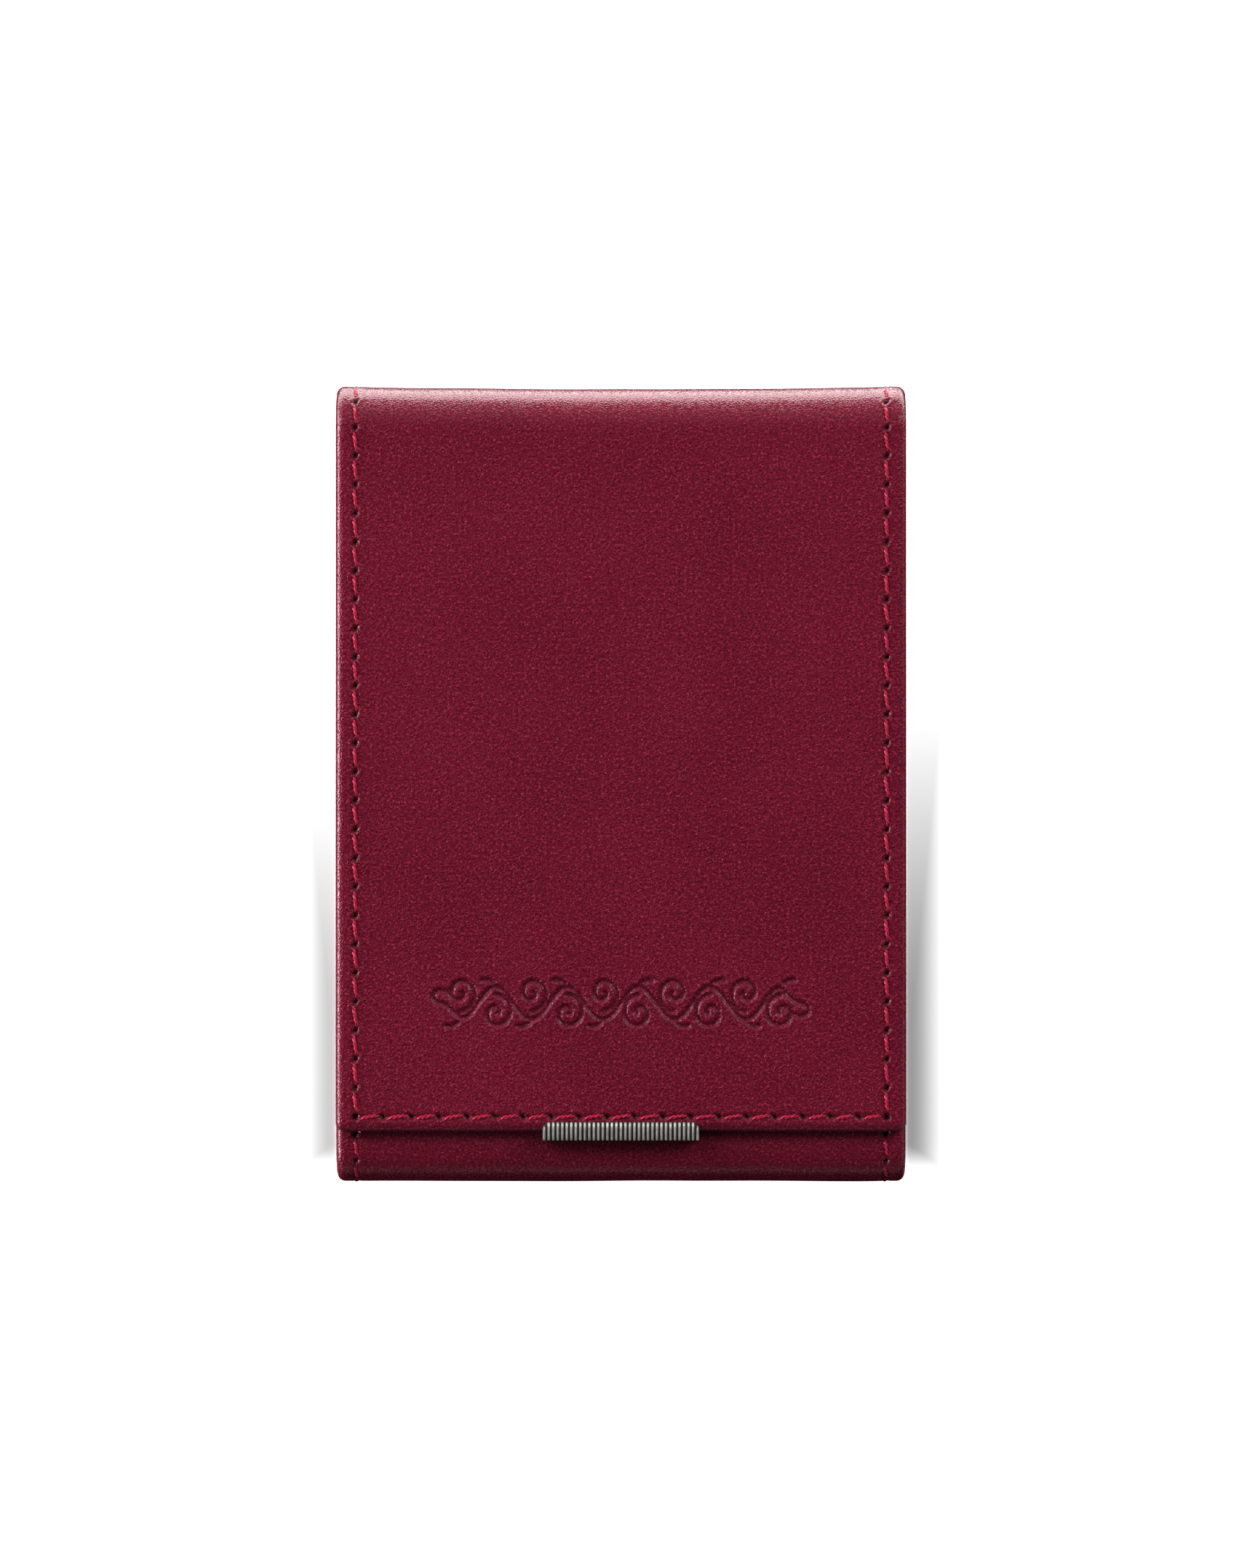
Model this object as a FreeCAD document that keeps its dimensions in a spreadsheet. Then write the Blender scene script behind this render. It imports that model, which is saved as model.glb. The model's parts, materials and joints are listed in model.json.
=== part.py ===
import FreeCAD, Part
import math
import os
import Sketcher

# Coin album that lies on its back: X is the width, Y runs up to the top fold and Z up through the front flap.
# The leather case wraps round from the flap's free edge over the top spine, the back and the bottom spine
# to the front lip. The pages are clamped inside, beside the top spine, and turn up like a reporter's notebook.
# Each case panel is drawn flat, with its outer face at height 0 and its girth along Y, and then put in place.

DRIVING = {
    "case_width": 80.0,
    "case_length": 112.0,
    "leather_thick": 0.9,
    "board_thick": 1.0,
    "lining_thick": 0.5,
    "edge_round": 0.8,        # rolled side edges
    "corner_round": 1.6,      # corners of the free ends, seen from above
    "top_fold": 6.0,          # outer radius of the two folds beside the top spine
    "bottom_fold": 5.0,       # outer radius of the two folds beside the bottom spine
    "fold_gap": 0.15,         # from a fold to the panel beside it
    "board_gap": 0.6,         # from a fold to the board in the panel beside it
    "turn_in_gap": 0.1,       # from a turned edge to the board and the lining inside it
    "flap_reveal": 7.3,       # strip of lip that shows below the flap
    "lip_reach": 13.0,
    "lip_clear": 0.2,         # from the lip up to the closed flap
    "stitch_inset": 2.7,
    "hem_inset": 2.1,
    "stitch_pitch": 4.0,
    "stitch_length": 3.1,
    "thread_thick": 0.5,
    "channel_wide": 0.8,
    "channel_deep": 0.4,
    "thread_rise": 0.35,
    "trim_length": 21.9,
    "trim_above": 1.36,       # trim bar on the flap, above the flap's edge
    "trim_below": 1.24,       # trim bar beyond the flap's edge
    "trim_proud": 1.1,
    "trim_side": 0.65,        # height of the trim bar's long sides
    "trim_crown": 2.2,        # radius across the trim bar's crown
    "trim_gap": 0.05,
    "trim_leg": 0.4,
    "trim_leg_reach": 1.2,
    "trim_rib_pitch": 0.63,
    "trim_rib_cut": 0.22,
    "magnet_length": 20.0,
    "magnet_wide": 3.4,
    "magnet_thick": 0.8,
    "magnet_clear": 0.1,
    "magnet_edge": 2.2,       # from the flap's edge to the magnet, and from the lip's edge to the keeper
    "keeper_wide": 3.0,
    "page_count": 5,
    "page_margin": 4.0,       # from the case's side to a page
    "page_end_gap": 1.0,      # from a page's free end to the lip
    "page_corner": 2.0,
    "page_pitch": 1.9,
    "film_thick": 0.25,
    "pocket_gap": 0.3,
    "weld_wide": 2.0,
    "mouth_wide": 29.0,
    "mouth_high": 0.8,
    "mouth_drop": 1.2,        # from a pocket's top weld to its mouth
    "thumb_radius": 5.5,
    "row_count": 3,
    "crease_gap": 0.3,        # from the binding to a page
    "binding_gap": 0.2,       # from the top fold to the binding
    "binding_wide": 7.8,
    "base_thick": 0.6,
    "clamp_thick": 1.0,
    "clamp_clear": 0.25,      # from the clamp bar up to the front page's crease
    "post_spacing": 46.0,
    "post_radius": 2.0,
    "post_bore": 1.3,
    "post_flange_radius": 3.5,
    "post_flange_thick": 0.5,
    "post_top_gap": 0.4,
    "screw_radius": 1.25,
    "screw_head_radius": 3.2,
    "screw_head_thick": 0.7,
    "screw_slot_wide": 0.7,
    "screw_slot_deep": 0.35,
    "hole_clear": 0.15,
    "head_clear": 0.8,        # from the screw heads to the closed flap
}

document = FreeCAD.newDocument("coin_album")
sheet = document.addObject("Spreadsheet::Sheet", "dims")
for row, (alias, size) in enumerate(DRIVING.items(), start=1):
    sheet.set(f"A{row}", alias)
    sheet.set(f"B{row}", str(size))
    sheet.setAlias(f"B{row}", alias)
document.recompute()

# Sizes that follow from the driving ones, as expressions for the objects to be bound to.
SIDE = "dims.case_width / 2"
END = "dims.case_length / 2"
COVER = "(dims.leather_thick + dims.board_thick + dims.lining_thick)"
PAGE_THICK = "(2 * dims.film_thick + dims.pocket_gap)"
TAB = "(2 * dims.film_thick)"
FIRST_PAGE = f"({COVER} + dims.base_thick + dims.film_thick)"
LAST_PAGE = f"({FIRST_PAGE} + (dims.page_count - 1) * dims.page_pitch)"
CLAMP = f"({LAST_PAGE} + dims.film_thick)"
CLAMP_TOP = f"({CLAMP} + dims.clamp_thick)"
HEIGHT = f"({CLAMP_TOP} + dims.screw_head_thick + dims.head_clear + {COVER})"
LIP_TOP = f"({HEIGHT} - {COVER} - dims.lip_clear)"
FLAP_EDGE = f"(-{END} + dims.flap_reveal)"
LIP_EDGE = f"(-{END} + dims.lip_reach)"
BINDING_TOP = f"({END} - dims.top_fold - dims.binding_gap)"
BINDING = f"({BINDING_TOP} - dims.binding_wide)"
PAGE_TOP = f"({BINDING} - dims.crease_gap)"
PAGE_END = f"({LIP_EDGE} + dims.page_end_gap)"
PAGE_SIDE = f"({SIDE} - dims.page_margin)"
ROW_PITCH = f"(({PAGE_TOP} - {PAGE_END} - dims.weld_wide) / dims.row_count)"
POST_Y = f"({BINDING} + dims.binding_wide / 2)"
HOLE = "(dims.post_radius + dims.hole_clear)"
MAGNET = f"({FLAP_EDGE} + dims.magnet_edge)"
KEEPER = f"({LIP_EDGE} - dims.magnet_edge - dims.keeper_wide)"

# Where each panel stands: its turn about X, its place, and its girth from one end to the other.
PANELS = {
    "flap": (0, ("0", HEIGHT), (FLAP_EDGE, f"{END} - dims.top_fold - dims.fold_gap")),
    "top_spine": (-90, (END, HEIGHT), ("dims.top_fold + dims.fold_gap",
                                       f"{HEIGHT} - dims.top_fold - dims.fold_gap")),
    "back": (180, ("0", "0"), (f"-({END} - dims.top_fold - dims.fold_gap)",
                               f"{END} - dims.bottom_fold - dims.fold_gap")),
    "bottom_spine": (90, (f"-({END})", "0"), ("dims.bottom_fold + dims.fold_gap",
                                              f"{LIP_TOP} - dims.bottom_fold - dims.fold_gap")),
    "lip": (0, ("0", LIP_TOP), (f"-({END}) + dims.bottom_fold + dims.fold_gap", LIP_EDGE)),
}
NEAR = 1e-4
made = []


def number(expression):
    return float(sheet.evalExpression(expression))


def new_body(label):
    body = document.addObject("PartDesign::Body", label)
    made.append(body)
    return body


def origin_part(body, role):
    return next(feature for feature in body.Origin.OriginFeatures if feature.Role == role)


def new_sketch(body, plane="XY_Plane", height="0"):
    sketch = body.newObject("Sketcher::SketchObject", f"{body.Name}_sketch")
    sketch.AttachmentSupport = [(origin_part(body, plane), "")]
    sketch.MapMode = "FlatFace"
    sketch.setExpression("AttachmentOffset.Base.z", height)
    return sketch


def bind(sketch, kind, line, end, expression):
    index = sketch.addConstraint(Sketcher.Constraint(kind, -1, 1, line, end, number(expression)))
    sketch.setExpression(f"Constraints[{index}]", expression)


def arc_between(start, end, radius, bulge):
    """Arc of the given radius; it bulges to the right of start to end if bulge is 1, to the left if -1."""
    chord = end - start
    right = FreeCAD.Vector(chord.y, -chord.x, 0).normalize()
    drop = math.sqrt(radius**2 - (chord.Length / 2) ** 2)
    centre = (start + end) / 2 - right * bulge * drop
    angles = [math.atan2(point.y - centre.y, point.x - centre.x) for point in (start, end)][::bulge]
    if angles[1] < angles[0]:
        angles[1] += 2 * math.pi
    return Part.ArcOfCircle(Part.Circle(centre, FreeCAD.Vector(0, 0, 1), radius), *angles)


def outline(sketch, corners, arcs=None):
    """Closed outline through corners; arcs gives radius and bulge for the sides that aren't straight."""
    arcs = arcs or {}
    points = [FreeCAD.Vector(number(across), number(along), 0) for across, along in corners]
    first = sketch.GeometryCount
    ends = []
    for side, start in enumerate(points):
        end = points[(side + 1) % len(points)]
        if side in arcs:
            radius, bulge = arcs[side]
            sketch.addGeometry(arc_between(start, end, number(radius), bulge))
        else:
            bulge = 1
            sketch.addGeometry(Part.LineSegment(start, end))
        ends.append((1, 2)[::bulge])
    for side in range(len(points)):
        after = (side + 1) % len(points)
        sketch.addConstraint(
            Sketcher.Constraint("Coincident", first + side, ends[side][1], first + after, ends[after][0])
        )
    for side, (across, along) in enumerate(corners):
        bind(sketch, "DistanceX", first + side, ends[side][0], across)
        bind(sketch, "DistanceY", first + side, ends[side][0], along)
    for side, (radius, _) in arcs.items():
        index = sketch.addConstraint(Sketcher.Constraint("Radius", first + side, number(radius)))
        sketch.setExpression(f"Constraints[{index}]", radius)


def rectangle(sketch, across, along):
    outline(sketch, [(across[0], along[0]), (across[1], along[0]),
                     (across[1], along[1]), (across[0], along[1])])


def circle(sketch, across, along, radius):
    centre = FreeCAD.Vector(number(across), number(along), 0)
    index = sketch.addGeometry(Part.Circle(centre, FreeCAD.Vector(0, 0, 1), number(radius)))
    bind(sketch, "DistanceX", index, 3, across)
    bind(sketch, "DistanceY", index, 3, along)
    ring = sketch.addConstraint(Sketcher.Constraint("Radius", index, number(radius)))
    sketch.setExpression(f"Constraints[{ring}]", radius)


def extrude(body, kind, sketch, length, side="One side", reverse=False):
    feature = body.newObject(f"PartDesign::{kind}", f"{body.Name}_{kind.lower()}")
    feature.Profile = sketch
    feature.setExpression("Length", length)
    feature.SideType = side
    feature.Reversed = reverse
    document.recompute()
    return feature


def add(body, sketch, length, **how):
    return extrude(body, "Pad", sketch, length, **how)


def cut(body, sketch, length, **how):
    """Pocket, checked to take some material away."""
    before = body.Shape.Volume
    feature = extrude(body, "Pocket", sketch, length, **how)
    if not body.Shape.Volume < before:
        raise RuntimeError(f"{feature.Label} cuts nothing")
    return feature


def repeat(body, features, axis, count, spacing):
    pattern = body.newObject("PartDesign::LinearPattern", f"{body.Name}_pattern")
    pattern.Originals = features
    pattern.Direction = (origin_part(body, axis), [""])
    pattern.setExpression("Occurrences", count)
    pattern.setExpression("Length", f"({spacing}) * ({count} - 1)")
    body.Tip = pattern
    document.recompute()
    return pattern


def round_edges(body, radius, wanted):
    solid = body.Tip
    names = [f"Edge{n}" for n, edge in enumerate(solid.Shape.Edges, start=1) if wanted(edge.BoundBox)]
    fillet = body.newObject("PartDesign::Fillet", f"{body.Name}_fillet")
    fillet.Base = (solid, names)
    fillet.setExpression("Radius", radius)
    document.recompute()


def stand(body, panel):
    """Puts a piece that is drawn flat where its panel stands."""
    turn, (along, up), _ = PANELS[panel]
    body.Placement = FreeCAD.Placement(FreeCAD.Vector(), FreeCAD.Rotation(FreeCAD.Vector(1, 0, 0), turn))
    body.setExpression("Placement.Base.y", along)
    body.setExpression("Placement.Base.z", up)


# ---- the case ----


def open_ends(panel):
    """Which ends of a panel run on into a fold."""
    return (panel != "flap", panel != "lip")


def leather(panel):
    """Leather skin of a panel, with its edges turned in round the board and the lining."""
    low, high = PANELS[panel][2]
    runs_on = open_ends(panel)
    body = new_body(f"{panel}_leather")
    blank = new_sketch(body)
    rectangle(blank, (f"-{SIDE}", SIDE), (low, high))
    add(body, blank, COVER, reverse=True)
    low_edge, high_edge = number(low), number(high)

    def at_free_end(box):
        at_low = abs(box.YMax - low_edge) < NEAR and not runs_on[0]
        at_high = abs(box.YMin - high_edge) < NEAR and not runs_on[1]
        return at_low or at_high

    def on_fold_end(box):
        at_low = abs(box.YMax - low_edge) < NEAR and runs_on[0]
        at_high = abs(box.YMin - high_edge) < NEAR and runs_on[1]
        return at_low or at_high

    if not all(runs_on):
        round_edges(body, "dims.corner_round", lambda box: box.ZLength > NEAR and at_free_end(box))
    round_edges(body, "dims.edge_round", lambda box: box.ZMin > -NEAR and not on_fold_end(box))
    inner_low = f"({low}) - 1" if runs_on[0] else f"({low}) + dims.leather_thick"
    inner_high = f"({high}) + 1" if runs_on[1] else f"({high}) - dims.leather_thick"
    inner_side = f"({SIDE} - dims.leather_thick)"
    hollow = new_sketch(body, height=f"-{COVER}")
    rectangle(hollow, (f"-{inner_side}", inner_side), (inner_low, inner_high))
    cut(body, hollow, "dims.board_thick + dims.lining_thick", reverse=True)
    channels = new_sketch(body)
    end_inset = f"({low}) + dims.hem_inset" if panel == "flap" else f"({low}) - 1"
    far_end = f"({high}) - dims.hem_inset" if panel == "lip" else f"({high}) + 1"
    for side in (-1, 1):
        middle = f"{side} * ({SIDE} - dims.stitch_inset)"
        rectangle(
            channels,
            (f"{middle} - dims.channel_wide / 2", f"{middle} + dims.channel_wide / 2"),
            (end_inset, far_end),
        )
    cut(body, channels, "dims.channel_deep")
    if panel in ("flap", "lip"):
        hem = new_sketch(body)
        middle = hem_middle(panel)
        reach = f"({SIDE} - dims.stitch_inset + dims.channel_wide / 2)"
        rectangle(
            hem,
            (f"-{reach}", reach),
            (f"{middle} - dims.channel_wide / 2", f"{middle} + dims.channel_wide / 2"),
        )
        cut(body, hem, "dims.channel_deep")
    if panel == "flap":
        notch = new_sketch(body, height=f"-{COVER}")
        half = "(dims.trim_length / 2 + 2 * dims.trim_gap)"
        rectangle(notch, (f"-{half}", half),
                  (f"{low} - 1", f"{low} + dims.trim_leg_reach + dims.leather_thick"))
        cut(body, notch, "dims.lining_thick", reverse=True)
    stand(body, panel)


def hem_middle(panel):
    low, high = PANELS[panel][2]
    return f"(({low}) + dims.hem_inset)" if panel == "flap" else f"(({high}) - dims.hem_inset)"


def stitching(panel):
    """Thread of a panel: a row down each side, and one across a free end."""
    low, high = PANELS[panel][2]
    body = new_body(f"{panel}_stitching")
    start = f"(({low}) + dims.hem_inset + dims.stitch_pitch / 2)" if panel == "flap" else f"({low})"
    finish = f"(({high}) - dims.hem_inset - dims.stitch_pitch / 2)" if panel == "lip" else f"({high})"
    run = f"({finish} - {start})"
    count = f"max(1; floor({run} / dims.stitch_pitch))"
    lead = f"({start} + ({run} - ({count} - 1) * dims.stitch_pitch) / 2)"
    length = f"min(dims.stitch_length; {run} - 2 * dims.fold_gap)"
    rows = new_sketch(body, height="-dims.channel_deep")
    for side in (-1, 1):
        middle = f"{side} * ({SIDE} - dims.stitch_inset)"
        rectangle(
            rows,
            (f"{middle} - dims.thread_thick / 2", f"{middle} + dims.thread_thick / 2"),
            (f"{lead} - {length} / 2", f"{lead} + {length} / 2"),
        )
    side_stitches = add(body, rows, "dims.thread_rise")
    if number(count) > 1:
        repeat(body, [side_stitches], "Y_Axis", count, "dims.stitch_pitch")
    if panel in ("flap", "lip"):
        hem = new_sketch(body, height="-dims.channel_deep")
        middle = hem_middle(panel)
        reach = f"({SIDE} - dims.stitch_inset - dims.stitch_pitch / 4)"
        hem_count = f"floor(2 * {reach} / dims.stitch_pitch)"
        hem_lead = f"(-({hem_count} - 1) * dims.stitch_pitch / 2)"
        rectangle(
            hem,
            (f"{hem_lead} - dims.stitch_length / 2", f"{hem_lead} + dims.stitch_length / 2"),
            (f"{middle} - dims.thread_thick / 2", f"{middle} + dims.thread_thick / 2"),
        )
        first = add(body, hem, "dims.thread_rise")
        repeat(body, [first], "X_Axis", hem_count, "dims.stitch_pitch")
    stand(body, panel)


def inner_run(panel, fold_margin):
    """Girth of a board or lining: up to the turned edge at a free end, short of the fold at the other."""
    low, high = PANELS[panel][2]
    turned = "(dims.leather_thick + dims.turn_in_gap)"
    runs_on = open_ends(panel)
    start = f"({low}) + {fold_margin if runs_on[0] else turned}"
    finish = f"({high}) - {fold_margin if runs_on[1] else turned}"
    return start, finish


def board(panel):
    body = new_body(f"{panel}_board")
    half = f"({SIDE} - dims.leather_thick - dims.turn_in_gap)"
    blank = new_sketch(body, height="-dims.leather_thick")
    rectangle(blank, (f"-{half}", half), inner_run(panel, "dims.board_gap"))
    add(body, blank, "dims.board_thick", reverse=True)
    if panel == "flap":
        slot_for(body, "dims.magnet_length", MAGNET, "dims.magnet_wide")
    if panel == "lip":
        slot_for(body, "dims.magnet_length", KEEPER, "dims.keeper_wide")
    if panel == "back":
        flanges = new_sketch(body, height="-dims.leather_thick")
        post_circles(flanges, "(dims.post_flange_radius + dims.hole_clear)", mirrored="-1")
        cut(body, flanges, "dims.board_thick")
    stand(body, panel)


def slot_for(body, length, place, width):
    slot = new_sketch(body, height="-dims.leather_thick")
    half = f"({length} / 2 + dims.magnet_clear)"
    rectangle(slot, (f"-{half}", half),
              (f"{place} - dims.magnet_clear", f"{place} + {width} + dims.magnet_clear"))
    cut(body, slot, "dims.board_thick")


def post_circles(sketch, radius, mirrored="1"):
    for side in (-1, 1):
        circle(sketch, f"{side} * dims.post_spacing / 2", f"{mirrored} * {POST_Y}", radius)


def lining(panel):
    body = new_body(f"{panel}_lining")
    half = f"({SIDE} - dims.leather_thick - dims.turn_in_gap)"
    start, finish = inner_run(panel, "dims.fold_gap")
    blank = new_sketch(body, height="-dims.leather_thick - dims.board_thick")
    rectangle(blank, (f"-{half}", half), (start, finish))
    add(body, blank, "dims.lining_thick", reverse=True)
    if panel == "flap":
        notch = new_sketch(body, height=f"-{COVER}")
        reach = "(dims.trim_length / 2 + 2 * dims.trim_gap)"
        rectangle(notch, (f"-{reach}", reach),
                  (f"{start} - 1", f"{FLAP_EDGE} + dims.trim_leg_reach + 2 * dims.trim_gap"))
        cut(body, notch, "dims.lining_thick", reverse=True)
    if panel == "back":
        holes = new_sketch(body, height=f"-{COVER}")
        post_circles(holes, HOLE, mirrored="-1")
        cut(body, holes, "dims.lining_thick", reverse=True)
    stand(body, panel)


def fold(label, centre, radius, quarter):
    """Leather that bends round a fold: a quarter of a ring about the fold's hinge line."""
    body = new_body(label)
    along, up = centre
    inner = f"({radius} - dims.leather_thick)"
    to_y, to_z = quarter
    ring = new_sketch(body, plane="YZ_Plane")
    corners = [
        (f"{along} + {to_y} * {radius}", up),
        (along, f"{up} + {to_z} * {radius}"),
        (along, f"{up} + {to_z} * {inner}"),
        (f"{along} + {to_y} * {inner}", up),
    ]
    bulge = to_y * to_z
    outline(ring, corners, arcs={0: (radius, bulge), 2: (inner, -bulge)})
    add(body, ring, "dims.case_width", side="Symmetric")


def trim_bar():
    """Ribbed metal bar, crimped as a channel round the middle of the flap's free edge."""
    body = new_body("trim_bar")
    out = f"({FLAP_EDGE} - dims.trim_below)"
    web = f"({FLAP_EDGE} - dims.trim_gap)"
    back = f"({FLAP_EDGE} + dims.trim_above)"
    leg = f"({FLAP_EDGE} + dims.trim_leg_reach)"
    floor = f"({HEIGHT} - {COVER} + dims.trim_gap)"
    side_top = f"({HEIGHT} + dims.trim_side)"
    section = new_sketch(body, plane="YZ_Plane")
    corners = [
        (out, floor),
        (leg, floor),
        (leg, f"{floor} + dims.trim_leg"),
        (web, f"{floor} + dims.trim_leg"),
        (web, HEIGHT),
        (back, HEIGHT),
        (back, side_top),
        (out, side_top),
    ]
    outline(section, corners, arcs={6: ("dims.trim_crown", 1)})
    add(body, section, "dims.trim_length", side="Symmetric")
    count = "(floor(dims.trim_length / dims.trim_rib_pitch) - 1)"
    lead = f"(-({count} - 1) * dims.trim_rib_pitch / 2)"
    grooves = new_sketch(body, height=f"{HEIGHT} + dims.trim_proud")
    rectangle(
        grooves,
        (f"{lead} - dims.trim_rib_cut / 2", f"{lead} + dims.trim_rib_cut / 2"),
        (f"{out} - 1", f"{back} + 1"),
    )
    groove = cut(body, grooves, "dims.trim_proud - dims.trim_side + dims.trim_rib_cut")
    repeat(body, [groove], "X_Axis", count, "dims.trim_rib_pitch")


def strip(label, across, along, low, thick):
    """Plain flat piece from a rectangle; across is its half width."""
    body = new_body(label)
    blank = new_sketch(body, height=low)
    rectangle(blank, (f"-({across})", across), along)
    add(body, blank, thick)
    return body


# ---- the binding ----


def bound_strip(label, low, thick):
    """Strip across the pages' heads, with a hole for each binding post."""
    body = strip(label, PAGE_SIDE, (BINDING, BINDING_TOP), low, thick)
    holes = new_sketch(body, height=low)
    post_circles(holes, HOLE)
    cut(body, holes, thick, reverse=True)
    return body


def page_height(page):
    return f"({FIRST_PAGE} + {page - 1} * dims.page_pitch)"


def spacers():
    """Strips that keep the pages apart: a base strip and one between each two tabs."""
    body = bound_strip("tab_spacers", COVER, "dims.base_thick")
    gap = f"(dims.page_pitch - {TAB})"
    low = f"({FIRST_PAGE} + dims.film_thick)"
    blank = new_sketch(body, height=low)
    rectangle(blank, (f"-{PAGE_SIDE}", PAGE_SIDE), (BINDING, BINDING_TOP))
    post_circles(blank, HOLE)
    spacer = add(body, blank, gap)
    repeat(body, [spacer], "Z_Axis", "(dims.page_count - 1)", "dims.page_pitch")


def binding_posts():
    """Two flanged tubes, set in the back board, that the screws turn into."""
    body = new_body("binding_posts")
    flange = new_sketch(body, height="dims.leather_thick")
    post_circles(flange, "dims.post_flange_radius")
    add(body, flange, "dims.post_flange_thick")
    top = f"({CLAMP_TOP} - dims.post_top_gap)"
    tubes = new_sketch(body, height="dims.leather_thick")
    post_circles(tubes, "dims.post_radius")
    add(body, tubes, f"{top} - dims.leather_thick")
    bores = new_sketch(body, height=top)
    post_circles(bores, "dims.post_bore")
    cut(body, bores, f"{top} - dims.leather_thick - dims.post_flange_thick")


def binding_screws():
    body = new_body("binding_screws")
    heads = new_sketch(body, height=CLAMP_TOP)
    post_circles(heads, "dims.screw_head_radius")
    add(body, heads, "dims.screw_head_thick")
    shank_low = "(dims.leather_thick + 2 * dims.post_flange_thick)"
    shanks = new_sketch(body, height=CLAMP_TOP)
    post_circles(shanks, "dims.screw_radius")
    add(body, shanks, f"{CLAMP_TOP} - {shank_low}", reverse=True)
    slots = new_sketch(body, height=f"{CLAMP_TOP} + dims.screw_head_thick")
    for side in (-1, 1):
        middle = f"{side} * dims.post_spacing / 2"
        rectangle(
            slots,
            (f"{middle} - dims.screw_head_radius - 1", f"{middle} + dims.screw_head_radius + 1"),
            (f"{POST_Y} - dims.screw_slot_wide / 2", f"{POST_Y} + dims.screw_slot_wide / 2"),
        )
    cut(body, slots, "dims.screw_slot_deep")


# ---- the pages ----


def round_page_corners(body):
    end = number(PAGE_END)
    round_edges(
        body, "dims.page_corner", lambda box: box.ZLength > NEAR and abs(box.YMax - end) < NEAR
    )


def back_film(page):
    low = f"({page_height(page)} - {PAGE_THICK} / 2)"
    body = strip(f"page_{page}_back_film", PAGE_SIDE, (PAGE_END, PAGE_TOP), low, "dims.film_thick")
    round_page_corners(body)


def front_film(page):
    """Front film, welded to the back film along a grid, with a mouth and a thumb cut in each pocket."""
    low = f"({page_height(page)} - {PAGE_THICK} / 2 + dims.film_thick)"
    top = f"({page_height(page)} + {PAGE_THICK} / 2)"
    thick = "(dims.film_thick + dims.pocket_gap)"
    body = strip(f"page_{page}_front_film", PAGE_SIDE, (PAGE_END, PAGE_TOP), low, thick)
    round_page_corners(body)
    half_weld = "dims.weld_wide / 2"
    pocket_wide = f"({PAGE_SIDE} - 1.5 * dims.weld_wide)"
    pocket_top = f"({PAGE_END} + {ROW_PITCH})"
    hollows = new_sketch(body, height=low)
    mouths = new_sketch(body, height=top)
    thumbs = new_sketch(body, height=top)
    for side in (-1, 1):
        middle = f"({side} * ({half_weld} + {pocket_wide} / 2))"
        rectangle(
            hollows,
            (f"{middle} - {pocket_wide} / 2", f"{middle} + {pocket_wide} / 2"),
            (f"{PAGE_END} + dims.weld_wide", pocket_top),
        )
        mouth_half = f"min(dims.mouth_wide; {pocket_wide} - dims.weld_wide) / 2"
        mouth = f"({pocket_top} - dims.mouth_drop)"
        rectangle(mouths, (f"{middle} - {mouth_half}", f"{middle} + {mouth_half}"),
                  (f"{mouth} - dims.mouth_high", mouth))
        circle(thumbs, middle, f"{mouth} - dims.mouth_high - dims.thumb_radius / 2", "dims.thumb_radius")
    cuts = ((hollows, "dims.pocket_gap", True), (mouths, thick, False), (thumbs, thick, False))
    for sketch, depth, reverse in cuts:
        pocket = cut(body, sketch, depth, reverse=reverse)
        repeat(body, [pocket], "Y_Axis", "dims.row_count", ROW_PITCH)


for panel_name in PANELS:
    leather(panel_name)
    board(panel_name)
    lining(panel_name)
    stitching(panel_name)
fold("flap_fold_leather", (f"({END} - dims.top_fold)", f"({HEIGHT} - dims.top_fold)"),
     "dims.top_fold", (1, 1))
fold("back_fold_leather", (f"({END} - dims.top_fold)", "dims.top_fold"), "dims.top_fold", (1, -1))
fold("bottom_fold_leather", (f"(-{END} + dims.bottom_fold)", "dims.bottom_fold"),
     "dims.bottom_fold", (-1, -1))
fold("lip_fold_leather", (f"(-{END} + dims.bottom_fold)", f"({LIP_TOP} - dims.bottom_fold)"),
     "dims.bottom_fold", (-1, 1))
trim_bar()
strip("flap_magnet", "dims.magnet_length / 2", (MAGNET, f"{MAGNET} + dims.magnet_wide"),
      f"({HEIGHT} - dims.leather_thick - dims.board_thick)", "dims.magnet_thick")
strip("keeper_plate", "dims.magnet_length / 2", (KEEPER, f"{KEEPER} + dims.keeper_wide"),
      f"({LIP_TOP} - dims.leather_thick - dims.magnet_thick)", "dims.magnet_thick")
spacers()
bound_strip("clamp_bar", CLAMP, "dims.clamp_thick")
binding_posts()
binding_screws()
for page_number in range(1, int(number("dims.page_count")) + 1):
    bound_strip(f"page_{page_number}_tab", f"({page_height(page_number)} - dims.film_thick)", TAB)
    back_film(page_number)
    front_film(page_number)

document.recompute()
for part in document.Objects:
    if "Invalid" in part.State or "Error" in part.State:
        raise RuntimeError(f"{part.Label} failed: {part.State}")
for body in made:
    if body.Shape.isNull() or not body.Shape.isValid():
        raise RuntimeError(f"{body.Label} has no valid shape")

os.makedirs("parts", exist_ok=True)
for body in made:
    body.Shape.exportStep(f"parts/{body.Label}.step")
print(f"{len(made)} nodes, closed height {number(HEIGHT):.2f} mm, lip at {number(LIP_TOP):.2f} mm")
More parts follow.
